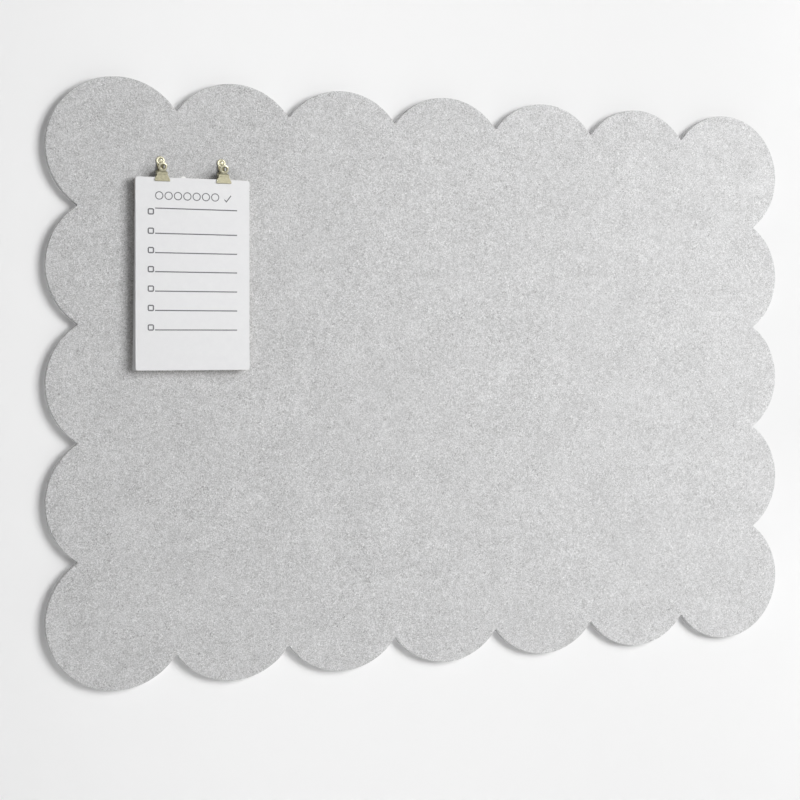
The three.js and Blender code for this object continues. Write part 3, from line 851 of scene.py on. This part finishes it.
def sheet_block():
    bm = bmesh.new()
    chance = random.Random(SHEET_SEED)
    step = (card_front - block_front) / BLOCK_SHEETS
    for k in range(BLOCK_SHEETS):
        behind = 1 - (k + 1) / BLOCK_SHEETS
        nudge = Vector((chance.uniform(-1, 1), chance.uniform(-1, 1))) * SHEET_NUDGE
        leaning_sheet(bm, card_front - (k + 1) * step, SHEET_LEAN * behind ** LEAN_FALL, nudge)
    print_form(bm, block_front)
    mesh = mesh_from("pad_sheets", bm)
    new_piece("pad_sheets", mesh, "pad", "pad_sheet_block", "paper", [writing_paper, grey_ink])


sheet_block()

# %% [markdown]
# ## The sheets that lift
# The top few sheets turn up at the clips' jaws. They are one piece with their print, made as fine grids so
# that they can bend: near the bound edge the rows are a millimetre apart. At rest the foot of the sheets
# curls off the block by about a millimetre, more at the right-hand corner, as handled paper does.

# %% Rows and curl of a sheet
CURL_HEIGHT, CURL_LEFT, CURL_RIGHT = 40 * MM, 0.5 * MM, 1.6 * MM
CORNER_ROWS, COARSE_ROWS = 6, 40
FINE_FIRST, FINE_ROWS, FINE_STEP = 3, 46, 1.0 * MM


def sheet_drops():
    """Rows down the sheet: close together at the head and in the rounded corners."""
    corner_rows = [PAD_CORNER * (1 - math.cos(math.pi / 2 * i / CORNER_ROWS)) for i in range(CORNER_ROWS + 1)]
    fine_end = FINE_ROWS * FINE_STEP
    fine = [FINE_STEP * i for i in range(FINE_FIRST, FINE_ROWS)]
    coarse_length = pad_height - PAD_CORNER - fine_end
    coarse = [fine_end + coarse_length * i / COARSE_ROWS for i in range(COARSE_ROWS)]
    return corner_rows + fine + coarse + [pad_height - drop for drop in reversed(corner_rows)]


def half_width_at(drop):
    from_end = min(drop, pad_height - drop)
    if from_end >= PAD_CORNER:
        return pad_width / 2
    return pad_width / 2 - PAD_CORNER + math.sqrt(PAD_CORNER ** 2 - (PAD_CORNER - from_end) ** 2)


def foot_curl(across, drop):
    """How far the foot stands off the block: across runs from 0 at the left edge to 1 at the right."""
    rise = max(0.0, drop - (pad_height - CURL_HEIGHT)) / CURL_HEIGHT
    return (CURL_LEFT + (CURL_RIGHT - CURL_LEFT) * across ** 2) * rise ** 2


print("a top sheet has", len(sheet_drops()), "rows")

# %% Top sheets
tops_low, tops_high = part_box("pad_top_sheets")
TOP_SHEETS, TOP_COLUMNS = 3, 18
CURL_LOSS = 0.3


def top_sheet(bm, front_y, curl_share):
    drops = sheet_drops()
    faces = []
    for depth in (0.0, SHEET_THICKNESS):
        grid = []
        for drop in drops:
            half = half_width_at(drop)
            row = []
            for i in range(TOP_COLUMNS + 1):
                across = i / TOP_COLUMNS
                y = front_y + depth - curl_share * foot_curl(across, drop)
                row.append(bm.verts.new((pad_middle.x + half * (2 * across - 1), y, pad_high.z - drop)))
            grid.append(row)
        faces.append(grid)
    for grid in faces:
        for row, next_row in zip(grid, grid[1:]):
            for i in range(TOP_COLUMNS):
                bm.faces.new((row[i], row[i + 1], next_row[i + 1], next_row[i]))
    rims = []
    for grid in faces:
        rims.append(
            grid[0] + [row[-1] for row in grid[1:-1]] + grid[-1][::-1] + [row[0] for row in grid[-2:0:-1]])
    bridge(bm, *rims)


def top_sheets():
    bm = bmesh.new()
    step = (tops_high.y - tops_low.y) / TOP_SHEETS
    for k in range(TOP_SHEETS):
        top_sheet(bm, tops_low.y + k * step, 1 - CURL_LOSS * k)
    print_form(bm, tops_low.y)
    mesh = mesh_from("pad_top_leaves", bm)
    piece = new_piece("pad_top_leaves", mesh, None, "pad_top_sheets", "paper", [writing_paper, grey_ink])
    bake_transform(piece)


top_sheets()

# %% [markdown]
# ## Backing card and gummed head
# The card is a plain slab with worn edges. The gum is brushed along the head of the pad by hand: a thin skin
# of uneven height with one lump where the brush left a drop. It is lofted from cross-sections along the edge.

# %% Backing card
CARD_EDGE = 0.25 * MM
card_profile = rounded_profile(pad_high.y - pad_low.y, CARD_EDGE, CARD_EDGE)
card_slab = boxed_slab(pad_low, pad_high, PAD_CORNER, card_profile, side_steps=PAD_SIDE_STEPS)
new_piece("pad_card", mesh_from("pad_card", card_slab), "pad", "pad_backing_card", "card", [grey_board])

# %% Gummed head
gum_low, gum_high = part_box("pad_gum_edge")
GUM_SKIN, GUM_EVEN, GUM_RIPPLE, RIPPLES_PER_METRE = 0.4 * MM, 0.75, 0.25, 300
GUM_STATIONS, GUM_AROUND = 360, 14
GUM_CROWN_SLOPE, GUM_RIM_SHARE = 6, 0.25
GUM_END_SLOPE, GUM_END_SHARE = 12, 0.15
LUMP_X, LUMP_HALF, LUMP_FALL = -10.5 * MM, 2.3 * MM, 4


def gum_height(x, across):
    """Height of the skin: across runs from 0 at the front of the pad to 1 at its back."""
    ripple = noise.noise(Vector((x * RIPPLES_PER_METRE, across * 2, 0)))
    skin = GUM_SKIN * (GUM_EVEN + GUM_RIPPLE * ripple)
    crown = min(1.0, GUM_CROWN_SLOPE * min(across, 1 - across) + GUM_RIM_SHARE)
    off = (x - pad_middle.x - LUMP_X) / LUMP_HALF
    lump = (gum_high.z - gum_low.z - GUM_SKIN) * math.exp(-off ** 4 - LUMP_FALL * across ** 2)
    return skin * crown + lump


def gum_section(x, share):
    """A loop of points round the skin at one station, drawn in to nothing at the two ends."""
    end = min(1.0, GUM_END_SLOPE * min(share, 1 - share) + GUM_END_SHARE)
    depth = gum_high.y - gum_low.y
    top = []
    for i in range(GUM_AROUND):
        across = i / (GUM_AROUND - 1)
        top.append(Vector((x, gum_low.y + across * depth, gum_low.z + gum_height(x, across) * end)))
    return top + [Vector((x, gum_high.y, gum_low.z)), Vector((x, gum_low.y, gum_low.z))]


def gummed_head():
    bm = bmesh.new()
    sections = []
    for k in range(GUM_STATIONS + 1):
        share = k / GUM_STATIONS
        x = gum_low.x + (gum_high.x - gum_low.x) * share
        sections.append([bm.verts.new(point) for point in gum_section(x, share)])
    loft(bm, sections)
    new_piece("pad_gum", mesh_from("pad_gum", bm), "pad", "pad_gum_edge", "gum", [padding_gum])


gummed_head()

# %% [markdown]
# ## Brass and steel
# The clips are pressed from thin steel with an antique brass plating: an olive yellow on the jaws, and
# brighter on the handles' rims, where fingers rub them and where that brightness is also a painted highlight.
# A near-black brass is painted shade on the cut edges, the lugs and the rear leaf outside its disc. One
# recipe makes the three tones, and Pointiness adds bright worn edges to each and painted shade in its
# hollows. Fine brushing runs up the leaves, so one noise is stretched along Z. The spring and the needle's
# shank are bare drawn steel.

# %% Metal finishes
BRASS_TONES = {
    "antique_brass": ((0.22, 0.208, 0.148, 1), (0.29, 0.275, 0.197, 1)),
    # The second tone is rubbed brass, made brighter as a painted highlight on the handles' rims.
    "rubbed_highlit_brass": ((0.41, 0.39, 0.285, 1), (0.55, 0.53, 0.405, 1)),
    # The third tone is near black: a painted shade.
    "painted_shade_brass": ((0.085, 0.075, 0.042, 1), (0.15, 0.135, 0.085, 1)),
}
BRASS_EDGE = (0.66, 0.64, 0.50, 1)
# Near-black tone for the painted shade in the hollows.
BRASS_HOLLOW_SHADE = (0.09, 0.078, 0.04, 1)
PLAIN, RUBBED_HIGHLIT, PAINTED_SHADE = range(len(BRASS_TONES))
TARNISH, TARNISH_ENDS = (420, 4.0, 0.6), (0.35, 0.65)
BRUSH_STRETCH, BRUSH_SHARE, BRUSH_BUMP = (6000, 6000, 260), 0.5, (0.12, 0.03 * MM)
HOLLOW_SHADE_ENDS, EDGES = (0.49, 0.43), (0.515, 0.60)
SCUFF_ENDS, BRASS_ROUGH = (0.4, 1.1), (0.33, 0.52)
STEEL_DULL = (0.42, 0.42, 0.41, 1)
STEEL_CLEAN = (0.60, 0.60, 0.59, 1)


def brass_finish(name, dull, clean):
    finish, tree, shader = new_finish(name, {"Metallic": 1.0})
    tarnish = cloud(tree, place_on(tree), *TARNISH)
    brushing = cloud(tree, place_on(tree, 0, BRUSH_STRETCH), 1.0, 2.0)
    pointed = node(tree, "NewGeometry", {}, "Pointiness")
    plating_and_shade = mixed(tree, remap(tree, tarnish, *TARNISH_ENDS), dull, clean)
    # Low pointiness blends in the near-black tone: painted shade in the hollows.
    plating_and_shade = mixed(tree, remap(tree, pointed, *HOLLOW_SHADE_ENDS), plating_and_shade, BRASS_HOLLOW_SHADE)
    scuffed = maths(tree, "ADD", tarnish, maths(tree, "MULTIPLY", brushing, BRUSH_SHARE))
    feed(tree, shader, {
        "Base Color": mixed(tree, remap(tree, pointed, *EDGES), plating_and_shade, BRASS_EDGE),
        "Roughness": remap(tree, scuffed, *SCUFF_ENDS, *BRASS_ROUGH),
        "Normal": bumped(tree, brushing, *BRUSH_BUMP),
    })
    return finish


brass_wear_and_shade = [brass_finish(name, *tones) for name, tones in BRASS_TONES.items()]
drawn_steel = two_tone_finish(
    "drawn_steel", (STEEL_DULL, STEEL_CLEAN), (2400, 3.0), {"Metallic": 1.0},
    stretch=(1, 1, 0.2), rough=(0.22, 0.4), bump=(0.1, 0.02 * MM))
print("metal finishes:", [finish.name for finish in (*brass_wear_and_shade, drawn_steel)])

# %% [markdown]
# ## Pressed leaves
# A clip leaf starts as a flat blank with rounded corners, and is then bent in a press. A cage under a
# subdivision surface would round its crisp bends, so the code does as the press does: the blank is a filleted
# polygon, and each of its points is carried along a bent side line. Sizes here are millimetres from the tip
# of the jaws and out from the felt.

# %% Blanks and bends
FILLET_STEPS, BEND_STEPS = 5, 12
NEARLY_STRAIGHT = 1.56
SLOPE_REACH, LENGTH_STEPS = 0.05, 4000


def filleted(corners):
    """A loop from (x, height, radius) corners, each rounded by its own radius."""
    loop = []
    for i, (x, s, radius) in enumerate(corners):
        corner = Vector((x, s))
        before = (Vector(corners[i - 1][:2]) - corner).normalized()
        after = (Vector(corners[(i + 1) % len(corners)][:2]) - corner).normalized()
        half_angle = before.angle(after) / 2
        if radius == 0 or half_angle > NEARLY_STRAIGHT:
            loop.append(corner)
            continue
        run = radius / math.tan(half_angle)
        centre = corner + (before + after).normalized() * (radius / math.sin(half_angle))
        first, last = corner + before * run - centre, corner + after * run - centre
        turn = math.atan2(first.x * last.y - first.y * last.x, first.dot(last))
        loop += arc(centre, radius, math.atan2(first.y, first.x), turn, FILLET_STEPS)
    return loop


def bent_line(corners, radius):
    """A line of (standoff, height) points with rounded bends, and its length so far from the jaw's tip."""
    rounded = [Vector(corners[0])]
    for i in range(1, len(corners) - 1):
        corner = Vector(corners[i])
        before = (Vector(corners[i - 1]) - corner).normalized()
        after = (Vector(corners[i + 1]) - corner).normalized()
        run = radius / math.tan(before.angle(after) / 2)
        first, last = corner + before * run, corner + after * run
        for j in range(BEND_STEPS + 1):
            share = j / BEND_STEPS
            rounded.append(first.lerp(corner, share).lerp(corner.lerp(last, share), share))
    rounded.append(Vector(corners[-1]))
    points = np.array([tuple(point) for point in rounded])
    lengths = np.concatenate(([0], np.cumsum(np.linalg.norm(np.diff(points, axis=0), axis=1))))
    return points, lengths + points[0, 1]


def along(line, s):
    """The point on a bent line at a length, and the unit vector square to it, away from the felt."""
    points, lengths = line
    place, ahead, behind = (
        Vector(np.interp(at, lengths, points[:, k]) for k in (0, 1))
        for at in (s, s + SLOPE_REACH, s - SLOPE_REACH))
    direction = (ahead - behind).normalized()
    return place, Vector((direction.y, -direction.x))


def length_at(line, target):
    points, lengths = line
    fine = np.linspace(lengths[0], lengths[-1], LENGTH_STEPS)
    places = np.stack([np.interp(fine, lengths, points[:, k]) for k in (0, 1)], axis=1)
    return float(fine[np.argmin(np.linalg.norm(places - np.array(target), axis=1))])


print("a filleted square has", len(filleted([(0, 0, 1), (9, 0, 1), (9, 9, 1), (0, 9, 1)])), "points")

# %% [markdown]
# ## Pressing a leaf
# A fine net fills the blank, with rings about its handle, where a low bead is pressed that stiffens it and
# catches the light. The same rings bound the rubbed metal with its painted highlight, so its edge is clean.
# Solidify gives the sheet its thickness, its cut edges take the painted shade brass, and Bevel breaks its
# edges.

# %% Sheet metal
LEAF = 0.8
BREAK_EDGE = {"width": 0.14, "segments": 2, "limit_method": "ANGLE", "angle_limit": math.radians(50)}
# The rims that Solidify adds take the painted shade brass: a painted dark line along the cut edges.
THICKEN = {"thickness": LEAF, "offset": 0, "use_even_offset": True, "material_offset_rim": PAINTED_SHADE}


def in_brass(name, bm):
    mesh = mesh_from(name, bm)
    for finish in brass_wear_and_shade:
        mesh.materials.append(finish)
    return mesh


def evaluated(name, mesh, modifiers):
    """What a mesh becomes under Blender's own modifiers, each given as (kind, settings)."""
    maker = bpy.data.objects.new(name, mesh)
    bpy.context.scene.collection.objects.link(maker)
    for kind, settings in modifiers:
        modifier = maker.modifiers.new(kind.lower(), kind)
        for key, value in settings.items():
            setattr(modifier, key, value)
    made = bpy.data.meshes.new_from_object(maker.evaluated_get(bpy.context.evaluated_depsgraph_get()))
    bpy.data.objects.remove(maker)
    return made


print("leaf sheet:", LEAF, "mm thick")

# %% Pressed leaf
LEAF_NET, NET_CLEAR = 0.55, 0.2
HANDLE_STEP, HANDLE_STEPS, HANDLE_HOLE_STEPS = 0.35, 40, 36
NECK_TEST = 1.08


def inside(point, loop):
    """Whether a flat point lies inside a closed loop."""
    crossings = 0
    for a, b in zip(loop, loop[1:] + loop[:1]):
        if (a.y > point.y) != (b.y > point.y):
            crossings += point.x < a.x + (point.y - a.y) * (b.x - a.x) / (b.y - a.y)
    return crossings % 2 == 1


def blank_points(loop, handle, handle_radius, hole_radius):
    """Points inside a blank: rings about its handle and an even net over the rest."""
    inner = []
    for radius in np.arange(handle_radius - HANDLE_STEP, hole_radius + HANDLE_STEP / 2, -HANDLE_STEP):
        inner += circle(handle, float(radius), HANDLE_STEPS)
    for point in circle(handle, handle_radius, HANDLE_STEPS):
        if inside(handle + (point - handle) * NECK_TEST, loop):
            inner.append(point)
    wide, high = max(p.x for p in loop), max(p.y for p in loop)
    for i in np.arange(-wide, wide, LEAF_NET):
        for j in np.arange(LEAF_NET / 2, high, LEAF_NET):
            point = Vector((float(i), float(j)))
            if (point - handle).length > handle_radius + NET_CLEAR and inside(point, loop):
                inner.append(point)
    return inner


def pressed_leaf(name, loop, line, handle, handle_radius, hole_radius, bead, wear_and_shade):
    """The blank's loop carried along the bent line, with a bead round the handle, in millimetres."""
    inner = blank_points(loop, handle, handle_radius, hole_radius)
    hole = circle(handle, hole_radius, HANDLE_HOLE_STEPS)
    points, triangles, _ = net([loop, hole], inner, [(handle, hole_radius)])
    bm = bmesh.new()
    verts = []
    for point in points:
        place, outward = along(line, point.y)
        place = place + outward * bead((point - handle).length, point)
        verts.append(bm.verts.new((point.x, -place.x, place.y)))
    for triangle, middle in triangles:
        # Each triangle gets plain brass, rubbed brass with a painted highlight, or painted shade brass.
        bm.faces.new([verts[i] for i in triangle]).material_index = wear_and_shade(middle)
    return evaluated(name, in_brass(name, bm), [("SOLIDIFY", THICKEN), ("BEVEL", BREAK_EDGE)])


print("leaf net:", LEAF_NET, "mm, and rings", HANDLE_STEP, "mm apart about the handle")

# %% [markdown]
# ## Lugs
# Each leaf has two lugs folded in from its sides, and the axle passes through all four. A lug is a flat ear:
# a root on the leaf and a round end about the axle, with the axle's hole through it. The lugs are joined to
# their leaf with a Boolean union, so the leaf is one closed skin.

# %% Lugs
AXLE_STANDOFF, AXLE_HEIGHT = 8.85, 9.0
AXLE_HOLE, AXLE_HOLE_STEPS = 1.2, 24
LUG_RADIUS, LUG_SWEEP, LUG_STEPS = 2.4, math.radians(190), 22
LUG_ROOT_LOW, LUG_ROOT_HIGH = 6.0, 9.4
LUG_EDGE = {**BREAK_EDGE, "width": 0.1}


def lug_mesh(name, root_standoff, x):
    axle = Vector((AXLE_STANDOFF, AXLE_HEIGHT))
    away = math.pi if root_standoff > AXLE_STANDOFF else 0.0
    round_end = arc(axle, LUG_RADIUS, away - LUG_SWEEP / 2, LUG_SWEEP, LUG_STEPS)
    root = [Vector((root_standoff, LUG_ROOT_HIGH)), Vector((root_standoff, LUG_ROOT_LOW))]
    loop = round_end + (root if away == 0 else root[::-1])
    hole = circle(axle, AXLE_HOLE, AXLE_HOLE_STEPS)
    points, triangles, sources = net([loop, hole], [], [(axle, AXLE_HOLE * CHORD_SHARE)])
    bm = bmesh.new()
    sides = [[bm.verts.new((x + shift, -p.x, p.y)) for p in points] for shift in (-LEAF / 2, LEAF / 2)]
    for triangle, _ in triangles:
        for verts in sides:
            bm.faces.new([verts[i] for i in triangle])
    order = {source[0]: i for i, source in enumerate(sources)}
    for first, count in ((0, len(loop)), (len(loop), len(hole))):
        bridge(bm, *([verts[order[first + i]] for i in range(count)] for verts in sides))
    # The lugs are all painted shade brass: painted shade between the leaves.
    for face in bm.faces:
        face.material_index = PAINTED_SHADE
    return evaluated(name, in_brass(name, bm), [("BEVEL", LUG_EDGE)])


def united(name, base, extras):
    """One closed skin from a base mesh and others that cut into it."""
    helpers = [bpy.data.objects.new(name + "_helper", extra) for extra in extras]
    for helper in helpers:
        bpy.context.scene.collection.objects.link(helper)
    joins = [("BOOLEAN", {"operation": "UNION", "solver": "EXACT", "object": helper}) for helper in helpers]
    mesh = evaluated(name, base, joins)
    for helper in helpers:
        bpy.data.objects.remove(helper)
    return mesh


print("axle:", AXLE_STANDOFF, "mm out from the felt and", AXLE_HEIGHT, "mm above the jaw's tip")

# %% [markdown]
# ## The two leaves of a clip
# The front leaf's handle is a ring, bent forward for a finger. The rear leaf steps back to the felt and ends
# in a round disc with the needle through it. Both share the wedge-shaped jaw.

# %% Leaf blank
JAW_HALF, JAW_LIP, NECK_HALF, NECK_BELOW_AXLE = 8.4, 1.2, 5.6, 1.5
WAIST_RISE, HANDLE_ARC_STEPS = 1.6, 44
GROOVE_DEPTH, GROOVE_HEIGHT, GROOVE_HALF = 0.22, 6.9, 0.35
LIP_RISE, LIP_HEIGHT = 0.2, 0.9
LINE_START, LINE_END = -1.0, 40.0
RUBBED_HIGHLIT_BAND = 4 * HANDLE_STEP


def leaf_blank(neck_top, waist, handle, handle_radius):
    """The jaw, neck and waist of a leaf, up to its round handle."""
    open_angle = math.acos(waist / handle_radius)
    right_side = [
        (JAW_HALF, 0.0, 0.7), (JAW_HALF, JAW_LIP, 0.9), (NECK_HALF, AXLE_HEIGHT - NECK_BELOW_AXLE, 1.2),
        (NECK_HALF, neck_top, 0.8), (waist, neck_top + WAIST_RISE, 0.8),
        (waist, handle.y - handle_radius * math.sin(open_angle), 0.0),
    ]
    left_side = [(-x, s, r) for x, s, r in reversed(right_side)]
    loop = filleted(right_side + left_side)
    below_handle = len(loop) // 2 - 1
    ring = arc(handle, handle_radius, -open_angle, math.pi + 2 * open_angle, HANDLE_ARC_STEPS)
    return loop[:below_handle] + ring + loop[below_handle + 2:]


def jaw_relief(point):
    """A shallow pressed groove across the top of the jaw, and a lip turned out at its tip."""
    groove = GROOVE_DEPTH * math.exp(-((point.y - GROOVE_HEIGHT) / GROOVE_HALF) ** 2)
    lip = LIP_RISE * max(0.0, 1 - point.y / LIP_HEIGHT) ** 2
    return lip - groove


print("jaw:", 2 * JAW_HALF, "mm wide")

# %% Front leaf
FRONT_STANDOFF, FRONT_BEND, FRONT_BEND_RADIUS, RING_TILT = 13.3, 9.6, 1.6, math.radians(20)
RING_NECK, RING_RADIUS, RING_HOLE, RING_WAIST, RING_CROWN = 1.4, 4.7, 2.3, 3.5, 0.45
FRONT_LUG_X = 4.0
BEAD_ABOVE_BEND = 2


def front_leaf_mesh():
    tilt = Vector((math.sin(RING_TILT), math.cos(RING_TILT)))
    bend = Vector((FRONT_STANDOFF, FRONT_BEND))
    line = bent_line([(FRONT_STANDOFF, LINE_START), bend, bend + tilt * LINE_END], FRONT_BEND_RADIUS)
    ring = Vector((0, length_at(line, bend + tilt * (RING_NECK + RING_RADIUS))))
    loop = leaf_blank(FRONT_BEND, RING_WAIST, ring, RING_RADIUS)

    def bead(from_ring, point):
        middle, half = (RING_HOLE + RING_RADIUS) / 2, (RING_RADIUS - RING_HOLE) / 2
        crown = RING_CROWN * max(0.0, 1 - ((from_ring - middle) / half) ** 2)
        return crown if point.y > FRONT_BEND + BEAD_ABOVE_BEND else jaw_relief(point)

    def wear_and_shade(point):
        # The ring's rim is rubbed brass, brightened as a painted highlight.
        from_ring = (point - ring).length
        return RUBBED_HIGHLIT if RING_RADIUS - RUBBED_HIGHLIT_BAND < from_ring < RING_RADIUS else PLAIN

    leaf = pressed_leaf("front_leaf", loop, line, ring, RING_RADIUS, RING_HOLE, bead, wear_and_shade)
    lugs = [lug_mesh("front_lug", FRONT_STANDOFF, side * FRONT_LUG_X) for side in (-1, 1)]
    return united("front_leaf", leaf, lugs)


front_leaf = front_leaf_mesh()
print("front leaf:", len(front_leaf.polygons), "faces")

# %% Rear leaf
REAR_STANDOFF, REAR_FLAT, REAR_BEND_RADIUS, NECK_TOP, JOGGLE_TOP = 4.4, 0.7, 1.2, 11.7, 16.2
DISC_HEIGHT, DISC_RADIUS, DISC_WAIST = 23.7, 4.5, 3.3
DISC_BEAD, DISC_BEAD_HALF, DISC_CROWN = 3.55, 0.9, 0.4
NEEDLE_HOLE = 0.65
REAR_LUG_X = 5.2


def rear_leaf_mesh():
    jaw_and_neck = [(REAR_STANDOFF, LINE_START), (REAR_STANDOFF, NECK_TOP)]
    flat_on_felt = [(REAR_FLAT, JOGGLE_TOP), (REAR_FLAT, LINE_END)]
    line = bent_line(jaw_and_neck + flat_on_felt, REAR_BEND_RADIUS)
    disc = Vector((0, length_at(line, (REAR_FLAT, DISC_HEIGHT))))
    loop = leaf_blank(NECK_TOP, DISC_WAIST, disc, DISC_RADIUS)

    def bead(from_disc, point):
        crown = DISC_CROWN * max(0.0, 1 - ((from_disc - DISC_BEAD) / DISC_BEAD_HALF) ** 2)
        return crown if point.y > JOGGLE_TOP else 0.0

    def wear_and_shade(point):
        # Outside its disc the rear leaf is painted shade brass, behind the front leaf and the pad; the disc's
        # rim is rubbed brass brightened as a painted highlight.
        from_disc = (point - disc).length
        if from_disc > DISC_RADIUS:
            return PAINTED_SHADE
        return RUBBED_HIGHLIT if from_disc > DISC_RADIUS - RUBBED_HIGHLIT_BAND else PLAIN

    leaf = pressed_leaf("rear_leaf", loop, line, disc, DISC_RADIUS, NEEDLE_HOLE, bead, wear_and_shade)
    lugs = [lug_mesh("rear_lug", REAR_STANDOFF, side * REAR_LUG_X) for side in (-1, 1)]
    return united("rear_leaf", leaf, lugs)


rear_leaf = rear_leaf_mesh()
print("rear leaf:", len(rear_leaf.polygons), "faces")

# %% [markdown]
# ## Axle, needle and spring
# The axle is a rod with two peened heads, and the needle a turned rivet drawn out to a point, so both are
# spun from a profile. The spring is a tube swept along a leg, a coil about the axle and a second leg.

# %% Turned pieces
TURN_STEPS = 28
DOME_ANGLES = [math.radians(angle) for angle in (0, 20, 40, 60, 75, 85)]
AXLE_RADIUS, AXLE_HEAD, AXLE_SHOULDER, HEAD_RIM, HEAD_CROWN = 0.9, 1.6, 5.9, 0.25, 0.35
NEEDLE_RADIUS, NEEDLE_SEAT, NEEDLE_TIP, NEEDLE_TAPER = 0.6, 1.1, -7.5, 2.6
TAPER_SHARES = (0, 0.3, 0.55, 0.75, 0.92)
RIVET_RADIUS, RIVET_RIM, RIVET_CROWN = 2.3, 0.25, 0.3
SHANK, RIVET = 0, 1


def turned_mesh(name, profile, place):
    """A solid of revolution from (radius, distance) points, its first and last on the axis."""
    bm = bmesh.new()
    rings = []
    for radius, distance in profile[1:-1]:
        ring = circle(Vector((0, 0)), radius, TURN_STEPS)
        rings.append([bm.verts.new(place(p.x, p.y, distance)) for p in ring])
    loft(bm, rings, capped=False)
    for ring, (_, distance) in ((rings[0], profile[0]), (rings[-1], profile[-1])):
        tip = bm.verts.new(place(0, 0, distance))
        for i in range(len(ring)):
            bm.faces.new((ring[i], ring[(i + 1) % len(ring)], tip))
    return mesh_from(name, bm)


def domed(radius, edge, crown):
    """Profile points of a low dome, from its top to its rim."""
    over = [(radius * math.cos(angle), edge + crown * math.sin(angle)) for angle in reversed(DOME_ANGLES)]
    return [(0.0, edge + crown), *over]


def axle_mesh():
    head = domed(AXLE_HEAD, AXLE_SHOULDER + HEAD_RIM, HEAD_CROWN)
    half = [*head, (AXLE_HEAD, AXLE_SHOULDER), (AXLE_RADIUS, AXLE_SHOULDER)]
    profile = half + [(radius, -distance) for radius, distance in reversed(half)]
    return turned_mesh("axle", profile, lambda a, b, d: Vector((d, -AXLE_STANDOFF + a, AXLE_HEIGHT + b)))


def needle_mesh():
    head = domed(RIVET_RADIUS, NEEDLE_SEAT + RIVET_RIM, RIVET_CROWN)
    taper = [(NEEDLE_RADIUS * (1 - t ** 2), NEEDLE_TIP + NEEDLE_TAPER * (1 - t)) for t in TAPER_SHARES]
    profile = [*head, (RIVET_RADIUS, NEEDLE_SEAT), (NEEDLE_RADIUS, NEEDLE_SEAT), *taper, (0.0, NEEDLE_TIP)]
    mesh = turned_mesh("needle", profile, lambda a, b, d: Vector((a, -d, DISC_HEIGHT + b)))
    for face in mesh.polygons:
        face.material_index = RIVET if face.center.y < -NEEDLE_SEAT else SHANK
    return mesh


turned = {"axle": axle_mesh(), "needle": needle_mesh()}
print("turned faces:", {name: len(mesh.polygons) for name, mesh in turned.items()})

# %% Spring
WIRE_RADIUS, WIRE_SIDES = 0.35, 10
COIL_RADIUS, COIL_TURNS, COIL_HALF = 1.9, 3.5, 2.25
COIL_STEPS, LEG_STEPS = 28, 12
REAR_LEG_END = Vector((-COIL_HALF, -5.45, 11.4))
LEG_REACH, LEG_BEHIND_LEAF = 4.0, LEAF / 2 + WIRE_RADIUS + 0.05
FRONT_LEG_END = Vector((
    COIL_HALF,
    -FRONT_STANDOFF - LEG_REACH * math.sin(RING_TILT) + LEG_BEHIND_LEAF * math.cos(RING_TILT),
    FRONT_BEND + LEG_REACH * math.cos(RING_TILT) + LEG_BEHIND_LEAF * math.sin(RING_TILT),
))


def spring_path():
    coil = []
    steps = round(COIL_TURNS * COIL_STEPS)
    for i in range(steps + 1):
        angle = -math.tau * i / COIL_STEPS
        coil.append(Vector((
            COIL_HALF * (2 * i / steps - 1),
            -AXLE_STANDOFF + COIL_RADIUS * math.cos(angle),
            AXLE_HEIGHT + COIL_RADIUS * math.sin(angle),
        )))
    rear_leg = [REAR_LEG_END.lerp(coil[0], i / LEG_STEPS) for i in range(LEG_STEPS)]
    front_leg = [coil[-1].lerp(FRONT_LEG_END, (i + 1) / LEG_STEPS) for i in range(LEG_STEPS)]
    return rear_leg + coil + front_leg


def wire_mesh(name, path, radius):
    """A closed round wire along a path, its section carried on from point to point without twisting."""
    bm = bmesh.new()
    rings = []
    across = Vector((1, 0, 0))
    for i, point in enumerate(path):
        direction = (path[min(i + 1, len(path) - 1)] - path[max(i - 1, 0)]).normalized()
        across = (across - direction * across.dot(direction)).normalized()
        beside = direction.cross(across)
        ring = circle(Vector((0, 0)), radius, WIRE_SIDES)
        rings.append([bm.verts.new(point + across * p.x + beside * p.y) for p in ring])
    loft(bm, rings)
    return mesh_from(name, bm)


spring = wire_mesh("spring", spring_path(), WIRE_RADIUS)
print("spring faces:", len(spring.polygons))

# %% [markdown]
# ## Two clips
# Both clips are the same, so each mesh is copied, scaled from millimetres and set at its clip's jaw tip. The
# front leaf rides on the lever body. The spring crosses the joint.

# %% Clips
CLIP_SHARP = math.radians(50)
CLIP_PIECES = {
    "rear_plate": ("rear_leaf", rear_leaf, [], "brass"),
    "front_plate": ("front_leaf", front_leaf, [], "brass"),
    "pivot": ("axle", turned["axle"], [brass_wear_and_shade[PLAIN]], "brass"),
    "pin": ("needle", turned["needle"], [drawn_steel, brass_wear_and_shade[PLAIN]], "steel"),
    "coil": ("spring", spring, [drawn_steel], "steel"),
}


def clip_pieces(clip):
    low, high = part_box(clip + "_front_leaf")
    tip = Vector(((low.x + high.x) / 2, felt_low.y, low.z))
    for piece_name, (cad_name, source, finishes, slot) in CLIP_PIECES.items():
        mesh = source.copy()
        mesh.name = f"{clip}_{piece_name}"
        mesh.transform(Matrix.Translation(tip) @ Matrix.Scale(MM, 4))
        body = {"front_plate": clip + "_lever", "coil": None}.get(piece_name, clip)
        piece = new_piece(mesh.name, mesh, body, f"{clip}_{cad_name}", slot, finishes, CLIP_SHARP)
        if piece_name == "coil":
            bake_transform(piece)


for clip in CLIPS:
    clip_pieces(clip)
